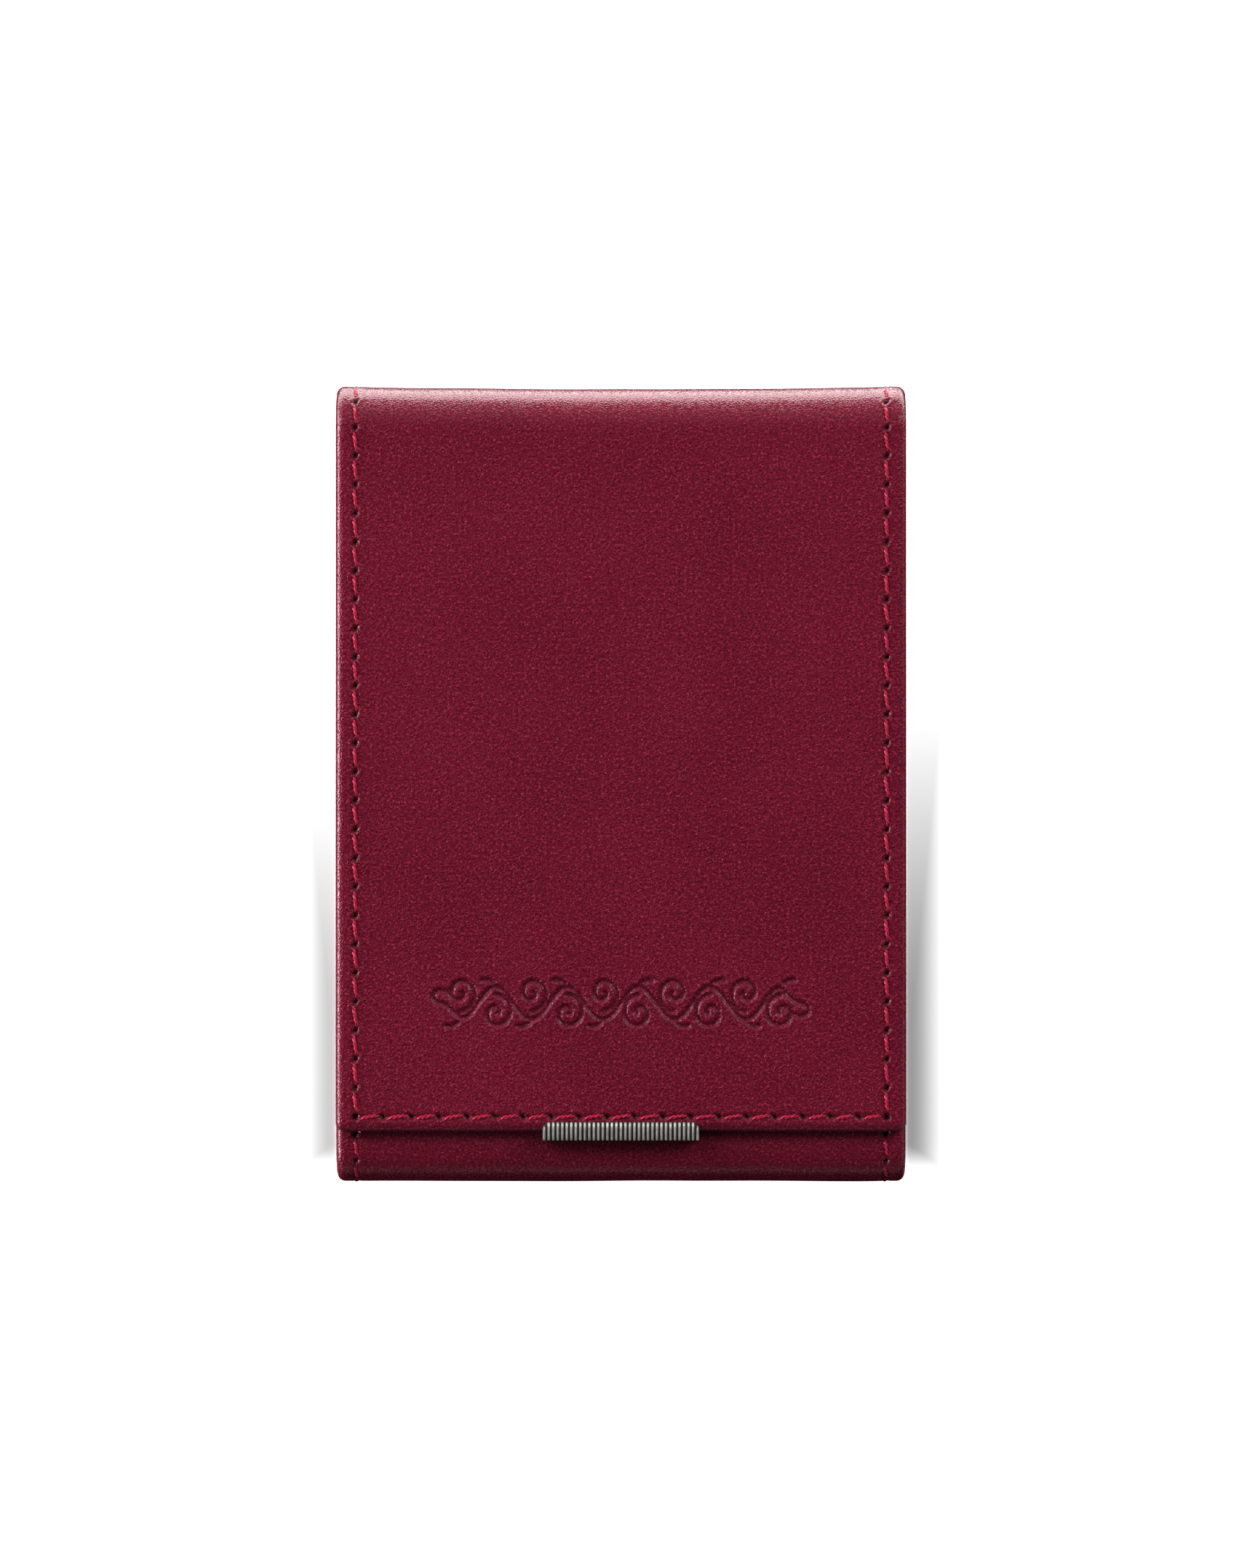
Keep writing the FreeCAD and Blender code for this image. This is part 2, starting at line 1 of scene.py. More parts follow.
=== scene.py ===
import bmesh
import bpy
import json
import math
import numpy as np
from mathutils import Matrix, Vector


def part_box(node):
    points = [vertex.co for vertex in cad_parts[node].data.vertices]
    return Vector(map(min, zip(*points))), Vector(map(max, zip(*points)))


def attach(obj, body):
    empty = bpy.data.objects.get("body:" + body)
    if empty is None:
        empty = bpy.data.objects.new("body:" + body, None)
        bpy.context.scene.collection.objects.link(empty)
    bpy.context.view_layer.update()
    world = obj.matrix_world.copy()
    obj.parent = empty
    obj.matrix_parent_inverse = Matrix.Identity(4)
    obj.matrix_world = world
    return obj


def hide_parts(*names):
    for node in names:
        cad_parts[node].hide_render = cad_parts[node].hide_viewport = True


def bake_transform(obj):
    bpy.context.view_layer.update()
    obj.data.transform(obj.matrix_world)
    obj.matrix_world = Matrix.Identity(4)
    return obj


# Coin album: leather case with a top-hinged flap, sewn edges, ribbed nickel trim and clear coin pages.
# Everything is in metres, in the CAD frame: +Z up through the flap, +Y towards the top fold.

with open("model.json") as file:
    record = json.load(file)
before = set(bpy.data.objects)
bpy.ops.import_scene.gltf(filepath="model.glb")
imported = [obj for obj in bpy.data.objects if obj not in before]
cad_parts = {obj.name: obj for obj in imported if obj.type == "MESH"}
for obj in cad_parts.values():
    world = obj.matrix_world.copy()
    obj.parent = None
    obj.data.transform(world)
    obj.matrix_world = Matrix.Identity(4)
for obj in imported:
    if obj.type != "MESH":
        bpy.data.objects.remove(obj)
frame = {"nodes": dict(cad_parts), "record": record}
bpy.context.view_layer.update()
mm = 0.001
print("frame loaded:", len(frame["nodes"]), "CAD nodes")


def linearColour(hexText):  # sRGB hex to linear RGBA
    parts = [int(hexText[i:i + 2], 16) / 255 for i in (0, 2, 4)]
    return tuple(c / 12.92 if c <= 0.04045 else ((c + 0.055) / 1.055) ** 2.4 for c in parts) + (1.0,)


def addLinks(tree, node, links):  # each input is fed by a (node, output) pair
    for key, (source, output) in links.items():
        tree.links.new(source.outputs[output], node.inputs[key])


def addNode(tree, kind, settings=None, values=None, links=None):  # one node with its settings, values and links
    node = tree.nodes.new(kind)
    for key, value in (settings or {}).items():
        setattr(node, key, value)
    for key, value in (values or {}).items():
        node.inputs[key].default_value = value
    addLinks(tree, node, links or {})
    return node


def mathNode(tree, operation, *terms, clamp=False):  # each term is a number or a (node, output) pair
    values = {i: term for i, term in enumerate(terms) if not isinstance(term, tuple)}
    links = {i: term for i, term in enumerate(terms) if isinstance(term, tuple)}
    return addNode(tree, "ShaderNodeMath", {"operation": operation, "use_clamp": clamp}, values, links)


def newObject(name, data):
    thing = bpy.data.objects.new(name, data)
    bpy.context.scene.collection.objects.link(thing)
    return thing


def smooth(t):
    t = np.clip(t, 0.0, 1.0)
    return t * t * (3 - 2 * t)


# The girth line that every case piece follows
flapLow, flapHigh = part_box("flap_leather")
lipLow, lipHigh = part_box("lip_leather")
topFoldLow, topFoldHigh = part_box("flap_fold_leather")
lipFoldLow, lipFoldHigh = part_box("lip_fold_leather")
coverThick = flapHigh.z - flapLow.z
halfWidth = flapHigh.x
topFold = topFoldHigh.z - topFoldLow.z
bottomFold = lipFoldHigh.z - lipFoldLow.z
topY, bottomY = topFoldHigh.y, lipFoldLow.y
flapZ, lipZ = flapHigh.z, lipHigh.z
flapEdgeY, lipEdgeY = flapLow.y, lipHigh.y

girthRuns = [  # start, direction and length of a straight run, or centre, first angle and radius of a fold
    ("line", (flapEdgeY, flapZ), (1, 0), topY - topFold - flapEdgeY),
    ("fold", (topY - topFold, flapZ - topFold), 90, topFold),
    ("line", (topY, flapZ - topFold), (0, -1), flapZ - 2 * topFold),
    ("fold", (topY - topFold, topFold), 0, topFold),
    ("line", (topY - topFold, 0.0), (-1, 0), topY - topFold - bottomY - bottomFold),
    ("fold", (bottomY + bottomFold, bottomFold), -90, bottomFold),
    ("line", (bottomY, bottomFold), (0, 1), lipZ - 2 * bottomFold),
    ("fold", (bottomY + bottomFold, lipZ - bottomFold), 180, bottomFold),
    ("line", (bottomY + bottomFold, lipZ), (1, 0), lipEdgeY - bottomY - bottomFold),
]
runLengths = [r[3] if r[0] == "line" else r[3] * math.pi / 2 for r in girthRuns]
runStarts = [sum(runLengths[:i]) for i in range(len(runLengths) + 1)]
girthLength = runStarts[-1]
seams = [0.0] + [runStarts[run] + runLengths[run] / 2 for run in (2, 4, 6)] + [girthLength]  # where the pieces meet

caseShape = {
    "spineSag": 0.38 * mm,   # how far the middle of the top edge is drawn in
    "sagBand": 8 * mm,       # over this much of the case's length
    "waviness": 0.05 * mm,
}


def wrap(x, s, depth):  # from flat: across, along the girth and below the outer face, to the closed case
    x, s, depth = (np.asarray(a, float) for a in (x, s, depth))
    y, z = np.zeros_like(s), np.zeros_like(s)
    for i, (kind, place, turn, size) in enumerate(girthRuns):
        low = -1.0 if i == 0 else runStarts[i]
        high = 1e9 if i == len(girthRuns) - 1 else runStarts[i + 1]
        here = (s >= low) & (s < high)
        t = s[here] - runStarts[i]
        if kind == "line":
            y[here] = place[0] + turn[0] * t + turn[1] * depth[here]
            z[here] = place[1] + turn[1] * t - turn[0] * depth[here]
        else:
            angle = math.radians(turn) - t / size
            y[here] = place[0] + (size - depth[here]) * np.cos(angle)
            z[here] = place[1] + (size - depth[here]) * np.sin(angle)
    middle = 1 - np.clip(np.abs(x) / (0.97 * halfWidth), 0, 1) ** 2.4
    y -= caseShape["spineSag"] * middle * smooth((y - (topY - 1 * mm)) / caseShape["sagBand"] + 1)
    return np.stack([x, y, z], -1)


def meshPiece(name, points, faces, attributes, sharpAngle):  # a smooth piece, its faces turned outwards
    mesh = bpy.data.meshes.new(name)
    mesh.from_pydata([tuple(p) for p in points], [], faces)
    mesh.update()
    mesh.shade_smooth()
    for key, values in attributes.items():
        values = np.asarray(values, np.float32)
        isVector = values.ndim == 2
        layer = mesh.attributes.new(key, "FLOAT_VECTOR" if isVector else "FLOAT", "POINT")
        layer.data.foreach_set("vector" if isVector else "value", values.ravel())
    work = bmesh.new()
    work.from_mesh(mesh)
    bmesh.ops.recalc_face_normals(work, faces=work.faces)
    work.to_mesh(mesh)
    work.free()
    mesh.set_sharp_from_angle(angle=math.radians(sharpAngle))
    return newObject(name, mesh)


# Stitch rows
stitchSizes = {
    "sideInset": 2.77 * mm,
    "hemInset": 2.05 * mm,
    "sidePitch": 4.03 * mm,
    "hemPitch": 3.82 * mm,
    "threadLength": 3.3 * mm,
    "plyRadius": 0.185 * mm,
    "plyOffset": 0.135 * mm,
    "rise": 0.03 * mm,
    "pressed": -0.13 * mm,     # rise of the thread on the spine, the back and under the flap
    "dip": 0.45 * mm,
    "dive": 3.2,               # how suddenly a stitch's ends turn down
    "sunk": 0.06 * mm,         # the rows lie this far below the leather's face
    "slant": 0.14,
    "unevenSlant": 0.045,
    "unevenSize": 0.05,
    "twists": 2.3,
}
rowX = halfWidth - stitchSizes["sideInset"]
hemRows = [stitchSizes["hemInset"], girthLength - stitchSizes["hemInset"]]
sideCount = round((hemRows[1] - hemRows[0]) / stitchSizes["sidePitch"])
sideHoles = np.linspace(hemRows[0], hemRows[1], sideCount + 1)
hemCount = round(2 * rowX / stitchSizes["hemPitch"])
hemHoles = np.linspace(-rowX, rowX, hemCount + 1)


# Pressed scroll on the flap
scrollSizes = {
    "length": 55 * mm,
    "height": 8.5 * mm,
    "fromEdge": 18.0 * mm,    # from the flap's edge to the scroll's middle
    "stroke": 0.36 * mm,      # half the width of a pressed line
    "depth": 0.27 * mm,
    "rim": 0.05 * mm,
    "waves": 5,
    "stem": 0.27,             # height of the stem's wave, as a share of the scroll's
    "spiral": 0.30,           # outer radius of a spiral, likewise
    "spiralTurns": 1.3,
    "leafRise": 0.9 * mm,
    "endCurl": 1.25 * mm,
}


def scrollLines():  # a running vine: a wavy stem, a spiral in each bend and small leaves
    length, height, waves = scrollSizes["length"], scrollSizes["height"], scrollSizes["waves"]
    stemHeight = scrollSizes["stem"] * height
    leafRise, endCurl = scrollSizes["leafRise"], scrollSizes["endCurl"]
    span = length - 5 * mm
    t = np.linspace(0, 1, 420)
    stemX = (t - 0.5) * span
    fade = smooth((1 - np.abs(2 * t - 1)) * 7)
    stemY = stemHeight * np.sin(math.pi * waves * (2 * t - 1)) * (0.35 + 0.65 * fade)
    lines = [np.stack([stemX, stemY], -1)]
    for k in range(2 * waves):
        centre = (k + 0.5) / (2 * waves)
        side = 1 if math.sin(math.pi * waves * (2 * centre - 1)) > 0 else -1
        outwards = 1 if centre > 0.5 else -1
        cx, cy = (centre - 0.5) * span, -side * 0.16 * height
        a = np.linspace(0, 1, 90)
        turn = side * (math.pi * 0.5 + a * math.pi * 2 * scrollSizes["spiralTurns"])
        radius = scrollSizes["spiral"] * height * (1 - 0.86 * a)
        lines.append(np.stack([cx + outwards * radius * np.cos(turn) * 0.92, cy + radius * np.sin(turn)], -1))
        b = np.linspace(0, 1, 24)
        leafY = side * (stemHeight + 0.06 * height + leafRise * b * (1.4 - b))
        lines.append(np.stack([cx + outwards * (0.4 + 1.5 * b) * mm, leafY], -1))
    for end in (-1, 1):
        b = np.linspace(0, 1, 40)
        curl = b * math.pi * 1.5
        curlY = -end * 0.9 * endCurl * (1 - np.cos(curl)) * (1 - 0.3 * b)
        lines.append(np.stack([end * (span / 2 + endCurl * np.sin(curl)), curlY], -1))
    return lines


def distanceToLines(px, py, lines, reach=1.5 * mm, batch=4000):  # nothing farther than reach is looked at
    nearest = np.full(px.shape, 1.0)
    for line in lines:
        a, b = line[:-1], line[1:]
        low, high = line.min(0) - reach, line.max(0) + reach
        where = np.nonzero((px > low[0]) & (px < high[0]) & (py > low[1]) & (py < high[1]))[0]
        for start in range(0, len(where), batch):
            i = where[start:start + batch]
            p = np.stack([px[i], py[i]], -1)[:, None]
            ab = b - a
            t = np.clip(((p - a) * ab).sum(-1) / np.maximum((ab * ab).sum(-1), 1e-18), 0, 1)
            d = np.sqrt((((a + ab * t[..., None]) - p) ** 2).sum(-1)).min(1)
            nearest[i] = np.minimum(nearest[i], d)
    return nearest


pressSizes = {  # the leather round a stitch: a channel along the row, an awl slit and its puckered rim
    "channelWidth": 0.40 * mm,
    "channel": 0.13 * mm,
    "slitLength": 0.52 * mm,
    "slitWidth": 0.20 * mm,
    "slit": 0.38 * mm,
    "puckerRadius": 0.60 * mm,
    "pucker": 0.08 * mm,
}


def relief(x, s):  # how far the leather is pressed in at a flat point, and how dark it is there: burnish and painted shade
    z = pressSizes
    down, dark = np.zeros_like(x), np.zeros_like(x)
    inRow = (s > hemRows[0] - 1 * mm) & (s < hemRows[1] + 1 * mm)
    rows = [(x - np.sign(x) * rowX, s, 1, sideHoles, inRow)]
    for hem in hemRows:
        rows.append((s - hem, x, -1, hemHoles, np.abs(x) < rowX + 1 * mm))
    for across, along, lean, holes, inside in rows:
        index = np.clip(np.searchsorted(holes, along), 1, len(holes) - 1)
        one, two = along - holes[index - 1], along - holes[index]
        gap = np.where(np.abs(one) < np.abs(two), one, two)
        longWay, shortWay = (across * lean + gap) / math.sqrt(2), (across * lean - gap) / math.sqrt(2)
        channel = np.exp(-(across / z["channelWidth"]) ** 2) * inside
        slit = np.exp(-(longWay / z["slitLength"]) ** 2 - (shortWay / z["slitWidth"]) ** 2) * inside
        around = np.hypot(longWay / 1.5, shortWay)
        pucker = np.exp(-((around - z["puckerRadius"]) / z["slitWidth"]) ** 2) * inside
        down += z["channel"] * channel + z["slit"] * slit - z["pucker"] * pucker
        # burnish and painted shade along the channel, painted shade in the awl slit
        dark = np.maximum(dark, 0.30 * channel + slit ** 1.8)
    if s.min() < scrollSizes["fromEdge"]:
        stroke = scrollSizes["stroke"]
        away = distanceToLines(x, s - scrollSizes["fromEdge"], scrollLines())
        press = 1 - smooth((away - 0.45 * stroke) / (0.85 * stroke))
        rim = np.exp(-((away - 1.75 * stroke) / (0.5 * stroke)) ** 2)
        down += scrollSizes["depth"] * press - scrollSizes["rim"] * rim
        # burnish and painted shade in the pressed lines
        dark = np.maximum(dark, 0.25 * press)
    # the board's slow waves, which die away at the sewn edges
    a, b = x / mm, s / mm
    wave = np.sin(a * 0.13 + 0.7 * np.sin(b * 0.061 + 1.1)) * np.sin(b * 0.083 + 0.4 + 0.5 * np.sin(a * 0.045))
    wave += 0.5 * np.sin(a * 0.31 + b * 0.17 + 2.0) * np.sin(b * 0.21 - a * 0.05)
    inner = smooth((halfWidth - 1.5 * mm - np.abs(x)) / (4 * mm))
    return down + caseShape["waviness"] * wave * inner, dark


shellSizes = {
    "cell": 1.0 * mm,          # coarse grid
    "fine": 5,                 # a fine cell is divided this many times each way
    "roll": coverThick / 2,    # radius of the rolled edge
    "leather": 0.88 * mm,
    "rim": 0.95 * mm,
    "fineBand": 5 * mm,        # the sewn edges are finely divided this far in
    "sharp": 50,               # degrees between faces from which an edge is drawn sharp
}


def gridLines(low, high, cell, marks=()):
    stops = sorted({low, high, *[m for m in marks if low < m < high]})
    lines = [low]
    for a, b in zip(stops, stops[1:]):
        count = max(1, round((b - a) / cell))
        lines += [a + (b - a) * k / count for k in range(1, count + 1)]
    return np.array(lines)


def leatherShell(name, sFrom, sTo, openStart, openEnd):  # a tray of leather with rolled edges, open at its seams
    roll, fine = shellSizes["roll"], shellSizes["fine"]
    quarter = roll * math.pi / 2
    uMax = halfWidth - roll + quarter
    vMin = sFrom + roll - quarter if openStart else sFrom
    vMax = sTo - roll + quarter if openEnd else sTo
    scrollHalf = scrollSizes["length"] / 2 + 1 * mm
    scrollLow = scrollSizes["fromEdge"] - scrollSizes["height"] / 2 - 1 * mm
    scrollHigh = scrollSizes["fromEdge"] + scrollSizes["height"] / 2 + 1 * mm
    edgeBand = uMax - shellSizes["fineBand"]
    us = gridLines(-uMax, uMax, shellSizes["cell"], (-edgeBand, edgeBand, -scrollHalf, scrollHalf))
    hemBand = (vMin + shellSizes["fineBand"], vMax - shellSizes["fineBand"])
    marks = [hemBand[0]] * openStart + [hemBand[1]] * openEnd + [scrollLow, scrollHigh]
    vs = gridLines(vMin, vMax, shellSizes["cell"], marks)
    uMid, vMid = (us[1:] + us[:-1]) / 2, (vs[1:] + vs[:-1]) / 2
    isFine = np.zeros((len(uMid), len(vMid)), bool)
    isFine[np.abs(uMid) > edgeBand, :] = True
    if openStart:
        isFine[:, vMid < hemBand[0]] = True
        isFine[np.ix_(np.abs(uMid) < scrollHalf, (vMid > scrollLow) & (vMid < scrollHigh))] = True
    if openEnd:
        isFine[:, vMid > hemBand[1]] = True
    uFine = np.interp(np.arange(len(uMid) * fine + 1) / fine, np.arange(len(us)), us)
    vFine = np.interp(np.arange(len(vMid) * fine + 1) / fine, np.arange(len(vs)), vs)
    number = np.full((len(uFine), len(vFine)), -1, int)
    corners, faces = [], []

    def vertex(i, j):
        if number[i, j] < 0:
            number[i, j] = len(corners)
            corners.append((i, j))
        return int(number[i, j])

    for i in range(len(uMid)):
        for j in range(len(vMid)):
            i0, j0 = i * fine, j * fine
            if isFine[i, j]:
                for a in range(i0, i0 + fine):
                    for b in range(j0, j0 + fine):
                        faces.append(tuple(vertex(a + p, b + q) for p, q in ((0, 0), (1, 0), (1, 1), (0, 1))))
                continue
            steps = range(1, fine)
            loop = [vertex(i0, j0)]
            if j > 0 and isFine[i, j - 1]:
                loop += [vertex(i0 + k, j0) for k in steps]
            loop.append(vertex(i0 + fine, j0))
            if i + 1 < len(uMid) and isFine[i + 1, j]:
                loop += [vertex(i0 + fine, j0 + k) for k in steps]
            loop.append(vertex(i0 + fine, j0 + fine))
            if j + 1 < len(vMid) and isFine[i, j + 1]:
                loop += [vertex(i0 + fine - k, j0 + fine) for k in steps]
            loop.append(vertex(i0, j0 + fine))
            if i > 0 and isFine[i - 1, j]:
                loop += [vertex(i0, j0 + fine - k) for k in steps]
            faces.append(tuple(loop))
    ij = np.array(corners)
    u, v = uFine[ij[:, 0]], vFine[ij[:, 1]]
    # roll the borders: angle round the edge, and the way the edge faces in plan
    angleU = np.clip((np.abs(u) - (halfWidth - roll)) / roll, 0, None)
    angleV = np.zeros_like(v)
    signV = np.ones_like(v)
    if openStart:
        over = np.clip((sFrom + roll - v) / roll, 0, None)
        signV[over > 0] = -1
        angleV = np.maximum(angleV, over)
    if openEnd:
        angleV = np.maximum(angleV, np.clip((v - (sTo - roll)) / roll, 0, None))
    tilt = np.maximum(angleU, angleV)
    safe = np.maximum(tilt, 1e-9)
    heading = np.where(angleU >= angleV, math.pi / 4 * angleV / safe, math.pi / 2 - math.pi / 4 * angleU / safe)
    heading = np.where(tilt > 0, heading, 0)
    faceX, faceS = np.sign(u) * np.cos(heading), signV * np.sin(heading)
    baseX = np.clip(u, -(halfWidth - roll), halfWidth - roll)
    baseS = np.clip(v, sFrom + roll if openStart else sFrom, sTo - roll if openEnd else sTo)
    x = baseX + roll * np.sin(tilt) * faceX * (tilt > 0)
    s = baseS + roll * np.sin(tilt) * faceS * (tilt > 0)
    depth = roll * (1 - np.cos(tilt))
    down, dark = relief(x, s)
    keep = np.cos(np.clip(tilt, 0, math.pi / 2)) ** 2
    points = [wrap(x, s, depth + down * keep)]
    flat = [np.stack([u, v, 0 * u], -1)]
    burnishAndShade = [dark * keep]
    # the rim: rings that run inwards from the middle of the rolled edge, then down to the tray's floor
    half = coverThick / 2
    rim = shellSizes["rim"]
    ringShape = [  # how far inwards and how deep each ring lies
        (0.0, half + 0.5 * mm), (0.12 * mm, half + 0.92 * mm), (0.42 * mm, coverThick - 0.03 * mm),
        (0.62 * mm, coverThick), (rim - 0.06 * mm, coverThick), (rim, coverThick - 0.06 * mm),
        (rim, shellSizes["leather"]),
    ]
    last = len(vFine) - 1
    side = list(range(last, -1, -1)) if openStart else list(range(0, last + 1))
    left, right = [int(number[0, j]) for j in side], [int(number[-1, j]) for j in side]
    if openStart or openEnd:
        row = 0 if openStart else last
        across = [int(number[i, row]) for i in range(1, len(uFine) - 1) if number[i, row] >= 0]
        paths = [left + across + right[::-1]]
    else:
        paths = [left, right]
    count = len(corners)
    rings = []
    for path in paths:
        path = np.array(path)
        levels = [path]
        for inwards, deep in ringShape:
            px, ps = x[path] - faceX[path] * inwards, s[path] - faceS[path] * inwards
            points.append(wrap(px, ps, np.full(len(path), deep)))
            rimU = u[path] + np.sign(u[path]) * (inwards + deep)
            flat.append(np.stack([rimU, v[path], np.full(len(path), deep)], -1))
            burnishAndShade.append(np.full(len(path), 0.15))
            levels.append(np.arange(count, count + len(path)))
            count += len(path)
        for one, two in zip(levels, levels[1:]):
            for k in range(len(path) - 1):
                faces.append((one[k], one[k + 1], two[k + 1], two[k]))
        rings.append(levels)
    if len(rings) == 1:  # a tray that is open at one end: one path runs round the other three sides
        ring = rings[0][-1]
        sides = len(side) - 1
        for k in range(sides):
            faces.append((ring[k], ring[k + 1], ring[-2 - k], ring[-1 - k]))
        faces.append(tuple(ring[sides:len(ring) - sides]))
        firstEnds = [levels[0] for levels in rings[0]][1:]
        lastEnds = [levels[-1] for levels in rings[0]][1:]
        seamRows = [(last if openStart else 0, firstEnds, lastEnds)]
    else:
        a, b = rings[0][-1], rings[1][-1]
        for k in range(len(a) - 1):
            faces.append((a[k], a[k + 1], b[k + 1], b[k]))
        seamRows = [(row, [level[end] for level in rings[0]][1:], [level[end] for level in rings[1]][1:])
                    for row, end in ((0, 0), (last, -1))]
    for row, leftEnds, rightEnds in seamRows:
        outer = [int(number[i, row]) for i in range(len(uFine)) if number[i, row] >= 0]
        faces.append(tuple(outer + list(rightEnds) + list(leftEnds)[::-1]))
    faces = [tuple(int(n) for n in f) for f in faces]
    attributes = {"unrolled": np.concatenate(flat), "burnishAndShade": np.concatenate(burnishAndShade)}
    return meshPiece(name, np.concatenate(points), faces, attributes, shellSizes["sharp"])


leatherPieces = {}
for name, k in (("flapLeather", 0), ("spineBackLeather", 1), ("lowerBackLeather", 2), ("lipLeather", 3)):
    leatherPieces[name] = leatherShell(name, seams[k], seams[k + 1], k == 0, k == 3)
    print(name, len(leatherPieces[name].data.polygons), "faces")


# Suede lining, let into the tray
liningSizes = {
    "edge": 1.02 * mm,         # from the cover's edge to the lining's
    "thick": 0.46 * mm,
    "sink": 0.9 * mm,          # how far it drops to the leather where there is no board
    "ramp": 1.6 * mm,
    "board": 0.6 * mm,         # from the end of a straight run to the board in it
}


def liningDrop(s):
    drop = np.ones_like(s)
    for run in (0, 2, 4, 6, 8):  # the straight runs
        before = runStarts[run] + liningSizes["board"] - s
        after = s - (runStarts[run + 1] - liningSizes["board"])
        away = after if run == 0 else before if run == 8 else np.maximum(before, after)
        drop = np.minimum(drop, smooth(np.clip(away, 0, None) / liningSizes["ramp"]))
    return drop * liningSizes["sink"]


def liningSheet(name, sFrom, sTo, openStart, openEnd):
    edge, thick = liningSizes["edge"], liningSizes["thick"]
    low = sFrom + edge * openStart
    high = sTo - edge * openEnd
    xs = gridLines(-halfWidth + edge, halfWidth - edge, 1.5 * mm)
    ss = gridLines(low, high, 0.6 * mm)
    grid = np.stack(np.meshgrid(xs, ss, indexing="ij"), -1).reshape(-1, 2)
    x, s = grid[:, 0], grid[:, 1]
    border = halfWidth - edge - np.abs(x)
    if openStart:
        border = np.minimum(border, s - low)
    if openEnd:
        border = np.minimum(border, high - s)
    drop = liningDrop(s)
    top = coverThick + 0.01 * mm - drop - 0.12 * mm * np.exp(-border / (0.35 * mm))
    bottom = coverThick - thick - drop
    nx, ns = len(xs), len(ss)
    faces = []
    for level in (0, 1):
        base = level * nx * ns
        for i in range(nx - 1):
            for j in range(ns - 1):
                k = base + i * ns + j
                faces.append((k, k + ns, k + ns + 1, k + 1))
    loop = [i * ns for i in range(nx)] + [(nx - 1) * ns + j for j in range(1, ns)]
    loop += [i * ns + ns - 1 for i in range(nx - 2, -1, -1)] + list(range(ns - 2, 0, -1))
    faces += [(a, b, b + nx * ns, a + nx * ns) for a, b in zip(loop, loop[1:] + loop[:1])]
    points = np.concatenate([wrap(x, s, top), wrap(x, s, bottom)])
    flat = np.stack([np.tile(x, 2), np.tile(s, 2), np.concatenate([0 * x, 0 * x + thick])], -1)
    return meshPiece(name, points, faces, {"unrolled": flat}, shellSizes["sharp"])


liningPieces = {}
for name, k in (("flapLining", 0), ("spineBackLining", 1), ("lowerBackLining", 2), ("lipLining", 3)):
    liningPieces[name] = liningSheet(name, seams[k], seams[k + 1], k == 0, k == 3)
print("linings made")


# What repeats is made by Geometry Nodes
def newGroup(name, sizes):  # a tree with one named input for each size
    tree = bpy.data.node_groups.new(name, "GeometryNodeTree")
    tree.interface.new_socket("Geometry", in_out="INPUT", socket_type="NodeSocketGeometry")
    kinds = {int: "NodeSocketInt", float: "NodeSocketFloat", bpy.types.Material: "NodeSocketMaterial"}
    for key, value in sizes.items():
        tree.interface.new_socket(key, in_out="INPUT", socket_type=kinds[type(value)]).default_value = value
    tree.interface.new_socket("Geometry", in_out="OUTPUT", socket_type="NodeSocketGeometry")
    return tree, addNode(tree, "NodeGroupInput"), addNode(tree, "NodeGroupOutput")


def grownMesh(name, points, edges, tree, inputs):  # what a tree makes of some lines, as points and faces
    mesh = bpy.data.meshes.new(name)
    mesh.from_pydata(points, edges, [])
    holder = newObject(name, mesh)
    modifier = holder.modifiers.new(tree.name, "NODES")
    modifier.node_group = tree
    for item in tree.interface.items_tree:
        if item.in_out == "INPUT" and item.name in inputs:
            modifier[item.identifier] = inputs[item.name]
    graph = bpy.context.evaluated_depsgraph_get()
    made = bpy.data.meshes.new_from_object(holder.evaluated_get(graph))
    holder.modifiers.clear()
    bpy.data.objects.remove(holder)
    at = np.array([v.co[:] for v in made.vertices])
    polygons = [tuple(p.vertices) for p in made.polygons]
    bpy.data.meshes.remove(made)
    return at, polygons


threadMaterial = bpy.data.materials.new("Waxed twisted thread")


